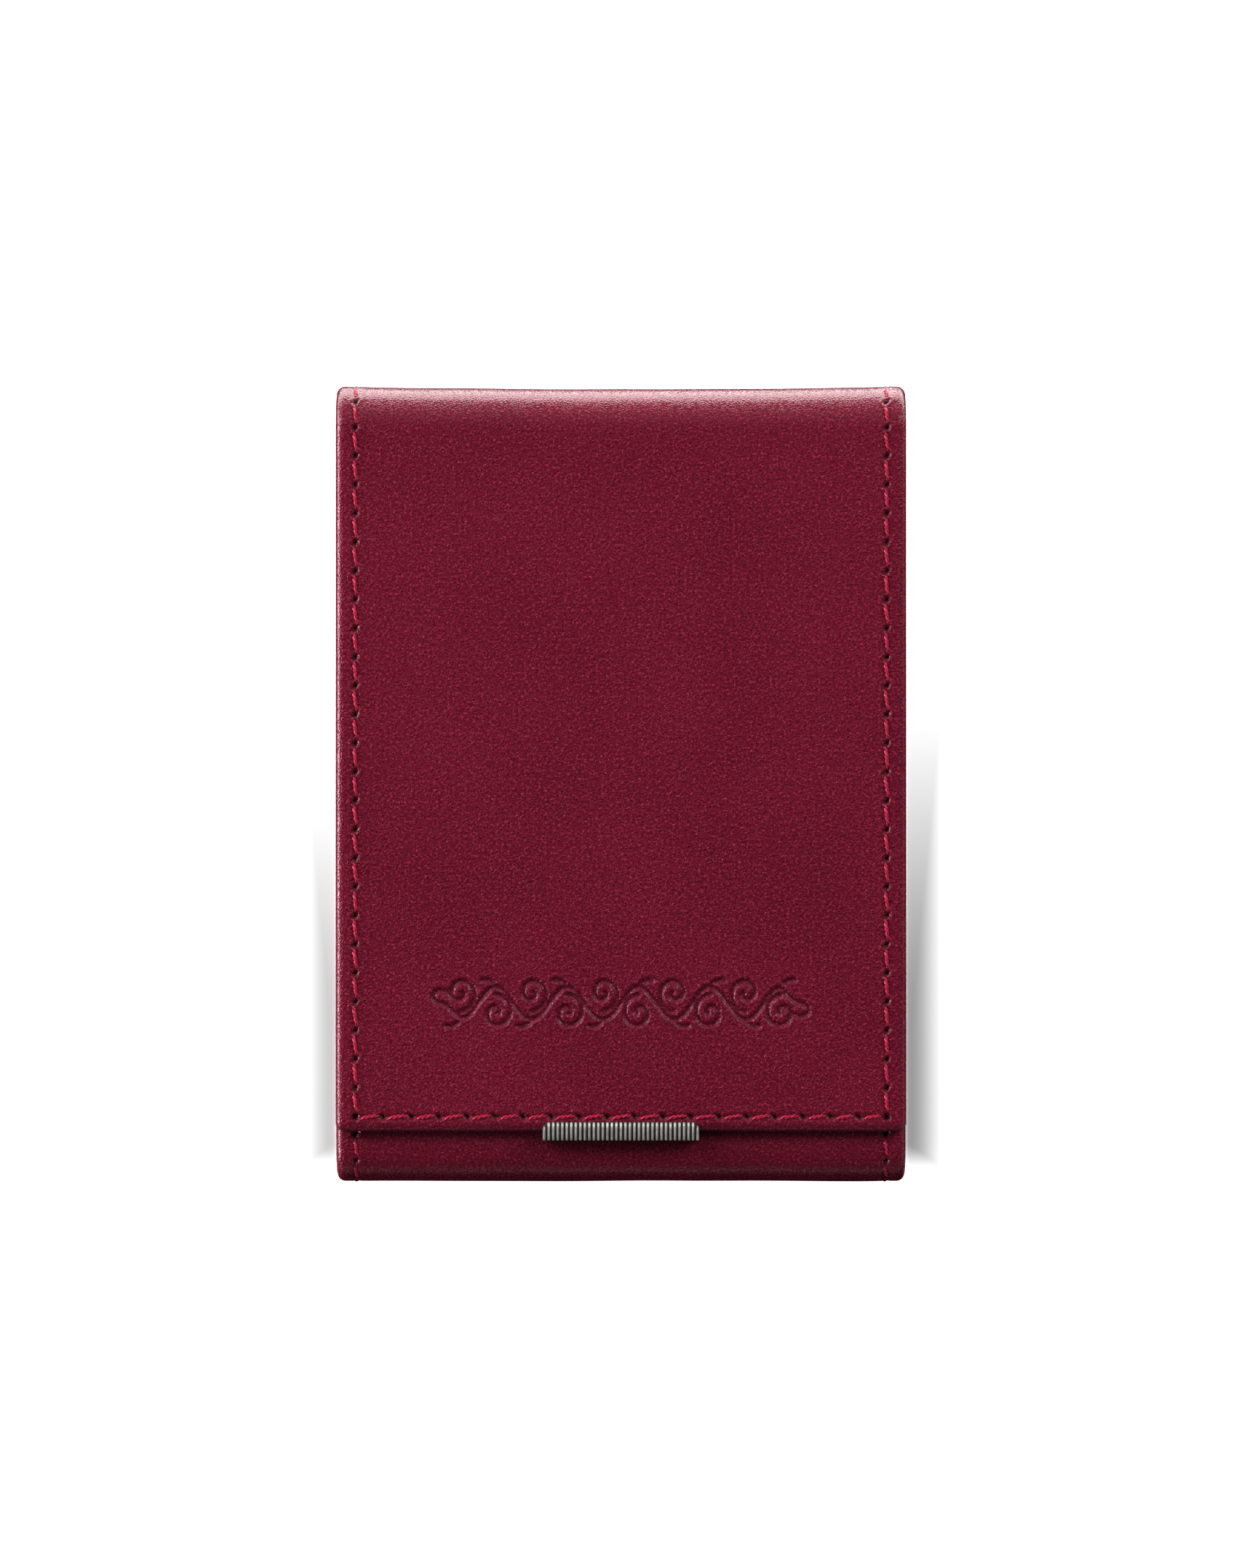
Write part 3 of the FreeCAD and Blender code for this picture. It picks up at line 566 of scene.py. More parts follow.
def stitchTree():
    z = stitchSizes
    tree, group, result = newGroup("Sewn stitches", {
        "Pitch": z["sidePitch"], "Length": z["threadLength"], "Ply radius": z["plyRadius"],
        "Ply offset": z["plyOffset"], "Twists": z["twists"], "Rise": z["rise"], "Dip": z["dip"],
        "Slant": z["slant"], "Seed": 11, "Material": threadMaterial})
    half = mathNode(tree, "MULTIPLY", (group, "Length"), -0.5)
    lift = addNode(tree, "ShaderNodeCombineXYZ", None, None, {"Z": (half, 0)})
    spiral = addNode(tree, "GeometryNodeCurveSpiral", None, {"Resolution": 5}, {
        "Rotations": (group, "Twists"), "Start Radius": (group, "Ply offset"),
        "End Radius": (group, "Ply offset"), "Height": (group, "Length")})
    centred = addNode(tree, "GeometryNodeTransform", None, None, {"Geometry": (spiral, 0), "Translation": (lift, 0)})
    along = addNode(tree, "GeometryNodeTransform", None, {"Rotation": (math.pi / 2, 0, 0)}, {"Geometry": (centred, 0)})
    ring = addNode(tree, "GeometryNodeCurvePrimitiveCircle", None, {"Resolution": 5}, {"Radius": (group, "Ply radius")})
    ply = addNode(tree, "GeometryNodeCurveToMesh", None, {"Fill Caps": True},
                  {"Curve": (along, 0), "Profile Curve": (ring, 0)})
    other = addNode(tree, "GeometryNodeTransform", None, {"Rotation": (0, math.pi, 0)}, {"Geometry": (ply, 0)})
    both = addNode(tree, "GeometryNodeJoinGeometry", None, None, {"Geometry": (ply, 0)})
    tree.links.new(other.outputs[0], both.inputs[0])
    # the thread dives into the needle holes at its ends
    place = addNode(tree, "GeometryNodeInputPosition")
    split = addNode(tree, "ShaderNodeSeparateXYZ", None, None, {0: (place, 0)})
    share = mathNode(tree, "DIVIDE", (split, "Y"), (half, 0))
    size = mathNode(tree, "ABSOLUTE", (share, 0))
    bend = mathNode(tree, "POWER", (size, 0), z["dive"])
    depth = mathNode(tree, "ADD", (group, "Rise"), (group, "Dip"))
    fall = mathNode(tree, "MULTIPLY", (bend, 0), (depth, 0))
    height = mathNode(tree, "SUBTRACT", (group, "Rise"), (fall, 0))
    move = addNode(tree, "ShaderNodeCombineXYZ", None, None, {"Z": (height, 0)})
    arched = addNode(tree, "GeometryNodeSetPosition", None, None, {"Geometry": (both, 0), "Offset": (move, 0)})
    # one stitch at each step of the row, slanted, with a little unevenness
    row = addNode(tree, "GeometryNodeMeshToCurve", None, None, {0: (group, "Geometry")})
    steps = addNode(tree, "GeometryNodeResampleCurve", {"mode": "LENGTH"}, None,
                    {"Curve": (row, 0), "Length": (group, "Pitch")})
    tangent = addNode(tree, "GeometryNodeInputTangent")
    aimed = addNode(tree, "FunctionNodeAlignRotationToVector", {"axis": "Y", "pivot_axis": "Z"}, None,
                    {"Vector": (tangent, 0)})
    uneven = addNode(tree, "FunctionNodeRandomValue", {"data_type": "FLOAT"},
                     {2: -z["unevenSlant"], 3: z["unevenSlant"]}, {"Seed": (group, "Seed")})
    lean = mathNode(tree, "ADD", (group, "Slant"), (uneven, 1))
    leanAngles = addNode(tree, "ShaderNodeCombineXYZ", None, None, {"Z": (lean, 0)})
    leanTurn = addNode(tree, "FunctionNodeEulerToRotation", None, None, {0: (leanAngles, 0)})
    turned = addNode(tree, "FunctionNodeRotateRotation", {"rotation_space": "LOCAL"}, None,
                     {0: (aimed, 0), 1: (leanTurn, 0)})
    scale = addNode(tree, "FunctionNodeRandomValue", {"data_type": "FLOAT"},
                    {2: 1 - z["unevenSize"], 3: 1 + z["unevenSize"], "Seed": 5})
    sewn = addNode(tree, "GeometryNodeInstanceOnPoints", None, None, {
        "Points": (steps, 0), "Instance": (arched, 0), "Rotation": (turned, 0), "Scale": (scale, 1)})
    real = addNode(tree, "GeometryNodeRealizeInstances", None, None, {0: (sewn, 0)})
    shade = addNode(tree, "GeometryNodeSetShadeSmooth", None, None, {0: (real, 0)})
    painted = addNode(tree, "GeometryNodeSetMaterial", None, None,
                      {"Geometry": (shade, 0), "Material": (group, "Material")})
    tree.links.new(painted.outputs[0], result.inputs[0])
    return tree


sewing = stitchTree()


def sewnRows(name, rows, pitch, rise):  # stitches along flat rows
    points = [end for row in rows for end in row]
    edges = [(2 * i, 2 * i + 1) for i in range(len(rows))]
    return grownMesh(name, points, edges, sewing, {"Pitch": pitch, "Rise": rise})


def stitchPiece(name, k):
    mids = (sideHoles[1:] + sideHoles[:-1]) / 2
    mids = mids[(mids >= seams[k]) & (mids < seams[k + 1])]
    pitch = sideHoles[1] - sideHoles[0]
    past = 0.001  # a row ends this share of a pitch past its last stitch
    spine, lip = runStarts[1] + 3 * mm, runStarts[7] + 4 * mm
    parts = []
    for low, high, rise in ((0, spine, "rise"), (spine, lip, "pressed"), (lip, girthLength, "pressed")):
        here = mids[(mids >= low) & (mids < high)]
        if len(here):
            rows = [((side * rowX, here[0], 0), (side * rowX, here[-1] + past * pitch, 0)) for side in (-1, 1)]
            parts.append(sewnRows(name, rows, pitch, stitchSizes[rise]))
    hemPitch = hemHoles[1] - hemHoles[0]
    for index, hem in ((0, hemRows[0]), (3, hemRows[1])):
        if index == k:
            first, last = (hemHoles[0] + hemHoles[1]) / 2, (hemHoles[-1] + hemHoles[-2]) / 2
            rise = stitchSizes["rise" if k == 0 else "pressed"]
            parts.append(sewnRows(name, [((first, hem, 0), (last + past * hemPitch, hem, 0))], hemPitch, rise))
    points, faces = [], []
    for at, polygons in parts:
        done = sum(len(p) for p in points)
        faces += [tuple(n + done for n in f) for f in polygons]
        points.append(at)
    flat = np.concatenate(points)
    folded = wrap(flat[:, 0], flat[:, 1], stitchSizes["sunk"] - flat[:, 2])
    return meshPiece(name, folded, faces, {"unrolled": flat}, 60)


stitchPieces = {}
for name, k in (("flapStitches", 0), ("spineBackStitches", 1), ("lowerBackStitches", 2), ("lipStitches", 3)):
    stitchPieces[name] = stitchPiece(name, k)
    print(name, len(stitchPieces[name].data.polygons), "faces")


# Materials
def newMaterial(name, values):  # a Principled material, with what is the same all over it set on the shader
    material = bpy.data.materials.get(name) or bpy.data.materials.new(name)
    material.use_nodes = True
    tree = material.node_tree
    tree.nodes.clear()
    shader = addNode(tree, "ShaderNodeBsdfPrincipled", None, values)
    addNode(tree, "ShaderNodeOutputMaterial", None, None, {"Surface": (shader, 0)})
    return material, tree, shader


def attribute(tree, key="unrolled"):  # unrolled says where a point lies on the flat leather, in metres
    return addNode(tree, "ShaderNodeAttribute", {"attribute_name": key})


def objectPlace(tree):
    return addNode(tree, "ShaderNodeTexCoord"), 3


def noise(tree, place, size, detail=2.0, roughness=0.5, distortion=0.0):  # size in metres
    values = {"Scale": 1 / size, "Detail": detail, "Roughness": roughness, "Distortion": distortion}
    return addNode(tree, "ShaderNodeTexNoise", None, values, {"Vector": place})


def remap(tree, source, fromLow, fromHigh, low=0.0, high=1.0, kind="LINEAR"):
    values = {1: fromLow, 2: fromHigh, 3: low, 4: high}
    return addNode(tree, "ShaderNodeMapRange", {"interpolation_type": kind}, values, {0: source})


def bump(tree, height, strength, distance, under=None):
    links = {"Height": height, "Normal": under} if under else {"Height": height}
    return addNode(tree, "ShaderNodeBump", None, {"Strength": strength, "Distance": distance}, links)


def blendColours(tree, factor, low, high, lowFrom, highFrom):  # two hex colours, mixed by a node's value
    ramp = addNode(tree, "ShaderNodeValToRGB", None, None, {0: factor})
    for stop, position, colour in zip(ramp.color_ramp.elements, (lowFrom, highFrom), (low, high)):
        stop.position, stop.color = position, linearColour(colour)
    return ramp


def mixColour(tree, factor, under, colour):  # a hex colour laid over another node's, by a node's value
    return addNode(tree, "ShaderNodeMix", {"data_type": "RGBA"}, {7: linearColour(colour)}, {0: factor, 6: under})


leatherLook = {
    "deep": "520b1e",
    "bright": "5c0e22",
    # painted highlight: glints on the pebbles
    "paintedGlint": "982a42",
    # painted shade between the pebbles
    "valley": "35050f",
    # colour of the burnish and of the painted shade in channels, slits and pressed lines
    "burntAndShaded": "0c0304",
    "cloud": 22 * mm,          # size of the slow changes in the dye
    "grain": 0.42 * mm,        # width of a pebble
    "grainHeight": 0.055 * mm,
    "wander": 0.2 * mm,        # how far the pebbles' borders are pushed about
    "wanderSize": 0.5 * mm,
    "patch": 9 * mm,           # size of the places with more grain
    "crease": 0.9 * mm,
    "creaseHeight": 0.15 * mm,
    "creaseSlant": 0.62,
    "creaseFrom": 20 * mm,     # creases fade between these distances from the flap's edge
    "creaseTo": 70 * mm,
    "pore": 0.2 * mm,
    "poreHeight": 0.012 * mm,
    # size of the painted glints and the painted shade patches
    "glintSize": 0.40 * mm,
    "finishBump": 0.35,        # how much of the grain shows through the glossy finish
}


def leatherMaterial():  # chrome-tanned calf, plated smooth: satin, with a fine pebble under a glossy finish
    look = leatherLook
    material, tree, shader = newMaterial("Burgundy calf leather", {
        "IOR": 1.5, "Specular IOR Level": 0.30, "Specular Tint": (1.0, 0.25, 0.33, 1.0),
        "Coat Weight": 0.45, "Coat Roughness": 0.14, "Coat IOR": 1.5})
    place = (attribute(tree), 1)
    broad = noise(tree, place, look["cloud"], 1.0)
    tone = blendColours(tree, (broad, 0), look["deep"], look["bright"], 0.25, 0.75)
    bent = noise(tree, place, look["wanderSize"])
    centred = addNode(tree, "ShaderNodeVectorMath", {"operation": "SUBTRACT"}, {1: (0.5, 0.5, 0.5)}, {0: (bent, 1)})
    push = addNode(tree, "ShaderNodeVectorMath", {"operation": "SCALE"}, {"Scale": look["wander"]}, {0: (centred, 0)})
    moved = addNode(tree, "ShaderNodeVectorMath", {"operation": "ADD"}, None, {0: place, 1: (push, 0)})
    pebble = addNode(tree, "ShaderNodeTexVoronoi", {"feature": "DISTANCE_TO_EDGE"},
                     {"Scale": 1 / look["grain"]}, {"Vector": (moved, 0)})
    crown = remap(tree, (pebble, 0), 0.0, 0.34, kind="SMOOTHSTEP")
    pores = noise(tree, place, look["pore"], roughness=0.6)
    # grain is stronger in some places than in others, and creases are strongest near the flap's edge
    patches = noise(tree, place, look["patch"])
    strong = remap(tree, (patches, 0), 0.3, 0.7, 0.85, 1.0)
    grain = mathNode(tree, "MULTIPLY", (crown, 0), (strong, 0))
    slanted = addNode(tree, "ShaderNodeMapping", None,
                      {"Rotation": (0, 0, look["creaseSlant"]), "Scale": (1.0, 0.4, 1.0)}, {"Vector": place})
    folds = noise(tree, (slanted, 0), look["crease"], 3.0, 0.6, 0.5)
    split = addNode(tree, "ShaderNodeSeparateXYZ", None, None, {0: place})
    lower = remap(tree, (split, "Y"), look["creaseFrom"], look["creaseTo"], 1.0, 0.25, "SMOOTHSTEP")
    creased = mathNode(tree, "MULTIPLY", (folds, 0), (lower, 0))
    bumpFolds = bump(tree, (creased, 0), 0.8, look["creaseHeight"])
    bumpGrain = bump(tree, (grain, 0), 1.0, look["grainHeight"], (bumpFolds, 0))
    bumpPores = bump(tree, (pores, 0), 0.8, look["poreHeight"], (bumpGrain, 0))
    finish = bump(tree, (grain, 0), look["finishBump"], look["grainHeight"])
    # painted light: lighter specks stand in for glints on the pebbles, and darker patches of the same noise stand in
    # for the shade between them
    glintNoise = noise(tree, (moved, 0), look["glintSize"], 3.0, 0.75)
    paintedGlint = remap(tree, (glintNoise, 0), 0.53, 0.70, 0.0, 0.8, "SMOOTHSTEP")
    glinted = mixColour(tree, (paintedGlint, 0), (tone, 0), look["paintedGlint"])
    valley = remap(tree, (glintNoise, 0), 0.32, 0.50, 0.95, 0.0)
    glintedAndShaded = mixColour(tree, (valley, 0), (glinted, 2), look["valley"])
    # darker where burnished and where shade is painted: stitch channels, awl slits and scroll lines
    done = mixColour(tree, (attribute(tree, "burnishAndShade"), 2), (glintedAndShaded, 2), look["burntAndShaded"])
    gloss = remap(tree, (bent, 0), 0.3, 0.7, 0.20, 0.32)
    addLinks(tree, shader, {"Base Color": (done, 2), "Roughness": (gloss, 0), "Normal": (bumpPores, 0),
                            "Coat Normal": (finish, 0)})
    return material


# The simpler cloths and boards: two tones, and the sizes of the noise that mixes them and of the fibres
clothLooks = {
    "thread": {"low": "560c1e", "high": "b82644", "fibre": 0.12 * mm, "fibreHeight": 0.02 * mm},
    "suede": {"low": "3a0f18", "high": "571c28", "nap": 7 * mm, "fibre": 0.22 * mm, "fibreHeight": 0.05 * mm},
    "board": {"low": "6f6a62", "high": "8d877d", "fibre": 0.7 * mm, "fibreHeight": 0.03 * mm},
    "card": {"low": "141312", "high": "262423", "fibre": 0.7 * mm, "fibreHeight": 0.03 * mm},
}


def threadFinish():  # waxed polyester thread: two plies with fine fibres along their twist
    look = clothLooks["thread"]
    material, tree, shader = newMaterial("Waxed twisted thread", {
        "Roughness": 0.42, "IOR": 1.5, "Specular IOR Level": 0.35, "Specular Tint": (1.0, 0.4, 0.45, 1.0)})
    fibres = noise(tree, (attribute(tree), 1), look["fibre"])
    tone = blendColours(tree, (fibres, 0), look["low"], look["high"], 0.3, 0.7)
    rough = bump(tree, (fibres, 0), 0.5, look["fibreHeight"])
    addLinks(tree, shader, {"Base Color": (tone, 0), "Normal": (rough, 0)})
    return material


def suedeMaterial():  # brushed suede cloth: matt, with a soft nap that lies in patches
    look = clothLooks["suede"]
    material, tree, shader = newMaterial("Wine suede cloth", {
        "Roughness": 0.92, "IOR": 1.45, "Sheen Weight": 0.5, "Sheen Roughness": 0.4})
    place = (attribute(tree), 1)
    nap = noise(tree, place, look["nap"], 5.0, 0.65, 0.8)
    tone = blendColours(tree, (nap, 0), look["low"], look["high"], 0.32, 0.68)
    fibres = noise(tree, place, look["fibre"], 3.0, 0.7)
    rough = bump(tree, (fibres, 0), 0.7, look["fibreHeight"])
    addLinks(tree, shader, {"Base Color": (tone, 0), "Normal": (rough, 0)})
    return material


def boardMaterial(name, look):  # pressed board: matt, speckled with fibres
    material, tree, shader = newMaterial(name, {"Roughness": 0.85, "IOR": 1.45})
    specks = noise(tree, objectPlace(tree), look["fibre"], 6.0, 0.75)
    tone = blendColours(tree, (specks, 0), look["low"], look["high"], 0.35, 0.65)
    rough = bump(tree, (specks, 0), 0.4, look["fibreHeight"])
    addLinks(tree, shader, {"Base Color": (tone, 0), "Normal": (rough, 0)})
    return material


def metalMaterial(name, low, high, roughness, grit, stretch):  # a ground and polished metal: fine lines one way
    material, tree, shader = newMaterial(name, {"Metallic": 1.0})
    lines = addNode(tree, "ShaderNodeMapping", None, {"Scale": stretch}, {"Vector": objectPlace(tree)})
    scratch = noise(tree, (lines, 0), grit, 4.0, 0.6)
    tone = blendColours(tree, (scratch, 0), low, high, 0.3, 0.7)
    gloss = remap(tree, (scratch, 0), 0.3, 0.7, 0.8 * roughness, 1.3 * roughness)
    rough = bump(tree, (scratch, 0), 0.2, 0.008 * mm)
    addLinks(tree, shader, {"Base Color": (tone, 0), "Roughness": (gloss, 0), "Normal": (rough, 0)})
    return material


nickelLook = {
    "low": "a8a39d",
    "high": "d6d2cb",
    "oxide": "2e2b29",
    "cloud": 1.3 * mm,
    "grit": 0.2 * mm,
    "gritHeight": 0.01 * mm,
}


def nickelMaterial():  # antiqued nickel plate: bright on the ribs, dark oxide left between them
    look = nickelLook
    material, tree, shader = newMaterial("Antiqued nickel", {"Metallic": 0.62})
    place = objectPlace(tree)
    cloud = noise(tree, place, look["cloud"], 4.0, 0.6)
    tone = blendColours(tree, (cloud, 0), look["low"], look["high"], 0.3, 0.7)
    patina = (attribute(tree, "patina"), 2)
    done = mixColour(tree, patina, (tone, 0), look["oxide"])
    gloss = remap(tree, patina, 0.0, 1.0, 0.17, 0.45)
    fine = noise(tree, place, look["grit"], 3.0)
    rough = bump(tree, (fine, 0), 0.25, look["gritHeight"])
    addLinks(tree, shader, {"Base Color": (done, 2), "Roughness": (gloss, 0), "Normal": (rough, 0)})
    return material


vinylLook = {
    "colour": "fafcfc",
    "clear": 0.78,             # share of the light that passes straight through
    "ripple": 11 * mm,
    "rippleHeight": 0.25 * mm,
    "haze": 0.5 * mm,          # size of the duller spots
}


def vinylMaterial():  # soft PVC sheet: glossy, a little milky and gently rippled
    look = vinylLook
    material, tree, shader = newMaterial("Clear soft vinyl", {
        "Base Color": linearColour(look["colour"]), "IOR": 1.53, "Transmission Weight": look["clear"]})
    place = objectPlace(tree)
    haze = noise(tree, place, look["haze"])
    gloss = remap(tree, (haze, 0), 0.3, 0.7, 0.08, 0.2)
    rippled = bump(tree, (noise(tree, place, look["ripple"]), 0), 0.5, look["rippleHeight"])
    addLinks(tree, shader, {"Roughness": (gloss, 0), "Normal": (rippled, 0)})
    return material


leatherFinish = leatherMaterial()
threadMaterial = threadFinish()
suedeFinish = suedeMaterial()
nickelFinish = nickelMaterial()
finishes = {
    "leather": leatherFinish,
    "thread": threadMaterial,
    "lining": suedeFinish,
    "page_film": vinylMaterial(),
    "trim_metal": nickelFinish,
    "board": boardMaterial("Grey binding board", clothLooks["board"]),
    "spacer_card": boardMaterial("Black spacer card", clothLooks["card"]),
    "magnet": metalMaterial("Plated magnet", "8c8c8e", "a9a9ab", 0.25, 0.3 * mm, (1, 1, 1)),
    "sheet_steel": metalMaterial("Ground sheet steel", "8a8a8a", "b3b3b2", 0.32, 0.25 * mm, (0.06, 1, 1)),
    "screw_metal": metalMaterial("Turned brass", "a98544", "d2ad63", 0.24, 0.25 * mm, (1, 1, 0.1)),
}
print("materials made")


# Ribbed trim bar
trimSizes = {
    "corner": 1.0 * mm,        # of its two upper corners
    "sideHeight": 0.62 * mm,   # above the flap's face
    "valley": 0.17 * mm,
    "ribPitch": 0.63 * mm,
    "ribRadius": 0.22 * mm,
    "bevel": 0.10 * mm,
    "leg": 1.16 * mm,
    "rows": 15,                # steps across the crown
    "oxideFrom": 0.015 * mm,   # below the crown
    "oxideDeep": 0.10 * mm,
}
barLow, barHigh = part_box("trim_bar")


def crownHeight(t):  # height of the bar's crown, from its upper side at 0 to its lower side at 1
    crown = np.sqrt(np.clip(1 - (2 * t - 1) ** 2 * 0.94, 0, 1))
    return trimSizes["sideHeight"] + (barHigh.z - flapZ - trimSizes["sideHeight"]) * crown


def cornerDrop(x):
    r = trimSizes["corner"]
    over = np.clip(np.abs(x) - (barHigh.x - r), 0, r)
    return r - np.sqrt(r * r - over * over)


def barBody():
    bevel, half, rows, lap = trimSizes["bevel"], barHigh.x, trimSizes["rows"], 0.05 * mm
    inner = np.linspace(-half + bevel, half - bevel, 9)
    curve = half - trimSizes["corner"] * (1 - np.sin(np.linspace(0, math.pi / 2, 10)))
    stations = sorted({*inner, *curve, *(-curve), half, -half})
    stations = [a for a, b in zip(stations, stations[1:] + [1.0]) if b - a > 1e-6]
    points, faces = [], []
    for x in stations:
        shrink = bevel * max(0.0, (abs(x) - (half - bevel)) / bevel)
        top = barHigh.y - float(cornerDrop(np.array(min(abs(x), half - 0.02 * mm)))) - shrink
        t = np.linspace(0, 1, rows)
        y = top + (barLow.y + shrink - top) * t
        z = flapZ + crownHeight(t) - trimSizes["valley"] - shrink
        legY = barLow.y + trimSizes["leg"]
        points += [(x, top, flapZ - lap)] + [(x, a, b) for a, b in zip(y, z)]
        points += [(x, barLow.y + shrink, barLow.z + lap), (x, legY, barLow.z + lap), (x, legY, flapZ - lap)]
    n = rows + 4
    for i in range(len(stations) - 1):
        for k in range(n):
            faces.append((i * n + k, (i + 1) * n + k, (i + 1) * n + (k + 1) % n, i * n + (k + 1) % n))
    faces += [tuple(range(n)), tuple((len(stations) - 1) * n + k for k in range(n))[::-1]]
    return np.array(points), faces


def ribTree():
    z = trimSizes
    tree, group, result = newGroup("Trim ribs", {
        "Pitch": z["ribPitch"], "Rib radius": z["ribRadius"], "Width": barHigh.y - barLow.y,
        "Half length": barHigh.x, "Corner": z["corner"], "Material": nickelFinish})
    # a rib's own line comes in as the mesh, and is swept and set at each step of the bar's length
    line = addNode(tree, "GeometryNodeMeshToCurve", None, None, {0: (group, "Geometry")})
    ring = addNode(tree, "GeometryNodeCurvePrimitiveCircle", None, {"Resolution": 8}, {"Radius": (group, "Rib radius")})
    rib = addNode(tree, "GeometryNodeCurveToMesh", None, {"Fill Caps": True},
                  {"Curve": (line, 0), "Profile Curve": (ring, 0)})
    reach = mathNode(tree, "SUBTRACT", (group, "Half length"), (group, "Rib radius"))
    other = mathNode(tree, "MULTIPLY", (reach, 0), -1.0)
    start = addNode(tree, "ShaderNodeCombineXYZ", None, None, {"X": (other, 0)})
    end = addNode(tree, "ShaderNodeCombineXYZ", None, None, {"X": (reach, 0)})
    length = addNode(tree, "GeometryNodeCurvePrimitiveLine", None, None, {"Start": (start, 0), "End": (end, 0)})
    steps = addNode(tree, "GeometryNodeResampleCurve", {"mode": "LENGTH"}, None,
                    {"Curve": (length, 0), "Length": (group, "Pitch")})
    # ribs are shorter where the bar's upper corners are rounded
    place = addNode(tree, "GeometryNodeInputPosition")
    split = addNode(tree, "ShaderNodeSeparateXYZ", None, None, {0: (place, 0)})
    size = mathNode(tree, "ABSOLUTE", (split, "X"))
    flat = mathNode(tree, "SUBTRACT", (group, "Half length"), (group, "Corner"))
    over = mathNode(tree, "SUBTRACT", (size, 0), (flat, 0))
    share = mathNode(tree, "DIVIDE", (over, 0), (group, "Corner"), clamp=True)
    square = mathNode(tree, "POWER", (share, 0), 2.0)
    rest = mathNode(tree, "SUBTRACT", 1.0, (square, 0))
    root = mathNode(tree, "SQRT", (rest, 0))
    short = mathNode(tree, "SUBTRACT", 1.0, (root, 0))
    drop = mathNode(tree, "MULTIPLY", (short, 0), (group, "Corner"))
    part = mathNode(tree, "DIVIDE", (drop, 0), (group, "Width"))
    keep = mathNode(tree, "SUBTRACT", 1.0, (part, 0))
    scale = addNode(tree, "ShaderNodeCombineXYZ", None, {"X": 1.0, "Z": 1.0}, {"Y": (keep, 0)})
    ribs = addNode(tree, "GeometryNodeInstanceOnPoints", None, None,
                   {"Points": (steps, 0), "Instance": (rib, 0), "Scale": (scale, 0)})
    real = addNode(tree, "GeometryNodeRealizeInstances", None, None, {0: (ribs, 0)})
    painted = addNode(tree, "GeometryNodeSetMaterial", None, None,
                      {"Geometry": (real, 0), "Material": (group, "Material")})
    tree.links.new(painted.outputs[0], result.inputs[0])
    return tree


def trimPiece():
    z = trimSizes
    width = barHigh.y - barLow.y
    inset = z["ribRadius"] / width
    line = [(0.0, (1 - a) * width, float(crownHeight(a)) - z["ribRadius"])
            for a in np.linspace(inset, 1 - inset, z["rows"])]
    line = [(0.0, line[0][1], line[0][2] - 0.4 * mm)] + line + [(0.0, line[-1][1], line[-1][2] - 0.5 * mm)]
    edges = [(i, i + 1) for i in range(len(line) - 1)]
    ribs, polygons = grownMesh("ribLine", line, edges, ribTree(), {})
    body, faces = barBody()
    faces = faces + [tuple(n + len(body) for n in f) for f in polygons]
    points = np.concatenate([body, ribs + np.array([0, barLow.y, flapZ])])
    below = flapZ + crownHeight(np.clip((barHigh.y - points[:, 1]) / width, 0, 1)) - points[:, 2]
    patina = smooth((below - z["oxideFrom"]) / z["oxideDeep"])
    return meshPiece("trimBar", points, faces, {"patina": patina}, 35)


trimBar = trimPiece()
print("trim bar", len(trimBar.data.polygons), "faces")


# Finishes on the pieces and the CAD nodes
def paint(piece, material):
    piece.data.materials.clear()
    piece.data.materials.append(material)


for subpart in frame["record"]["subparts"]:
    node, slot = frame["nodes"][subpart["node"]], subpart["material_slot"]
    for index in range(max(1, len(node.data.materials))):
        if node.data.materials:
            node.material_slots[index].material = finishes[slot]
        else:
            node.data.materials.append(finishes[slot])
for piece in leatherPieces.values():
    paint(piece, leatherFinish)
for piece in liningPieces.values():
    paint(piece, suedeFinish)
for piece in stitchPieces.values():
    paint(piece, threadMaterial)
paint(trimBar, nickelFinish)

# The pieces take the place of the CAD parts, and the trim bar is attached to the flap
foldEnds = {  # the two bodies of each soft strip, and where the bend starts and ends
    "flap": ("top_spine", "flap", (0, topY, flapZ - topFold), (0, topY - topFold, flapZ)),
    "spineBack": ("back_cover", "top_spine", (0, topY - topFold, 0), (0, topY, topFold)),
    "lowerBack": ("back_cover", "bottom_spine", (0, bottomY + bottomFold, 0), (0, bottomY, bottomFold)),
    "lip": ("bottom_spine", "front_lip", (0, bottomY, lipZ - bottomFold), (0, bottomY + bottomFold, lipZ)),
}
standsFor = {
    "flapLeather": ("flap_leather", "flap_fold_leather", "top_spine_leather"),
    "spineBackLeather": ("back_fold_leather",),
    "lowerBackLeather": ("back_leather", "bottom_fold_leather"),
    "lipLeather": ("bottom_spine_leather", "lip_fold_leather", "lip_leather"),
    "flapLining": ("flap_lining",),
    "spineBackLining": ("top_spine_lining",),
    "lowerBackLining": ("back_lining", "bottom_spine_lining"),
    "lipLining": ("lip_lining",),
    "flapStitches": ("flap_stitching",),
    "spineBackStitches": ("top_spine_stitching",),
    "lowerBackStitches": ("back_stitching", "bottom_spine_stitching"),
    "lipStitches": ("lip_stitching",),
}
for kind, pieces, slotName in (
    ("Leather", leatherPieces, "leather"),
    ("Lining", liningPieces, "lining"),
    ("Stitches", stitchPieces, "thread"),
):
    for part, (one, two, start, end) in foldEnds.items():
        piece = pieces[part + kind]
        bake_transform(piece)
        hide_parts(*standsFor[piece.name])
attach(trimBar, "flap")
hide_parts("trim_bar")

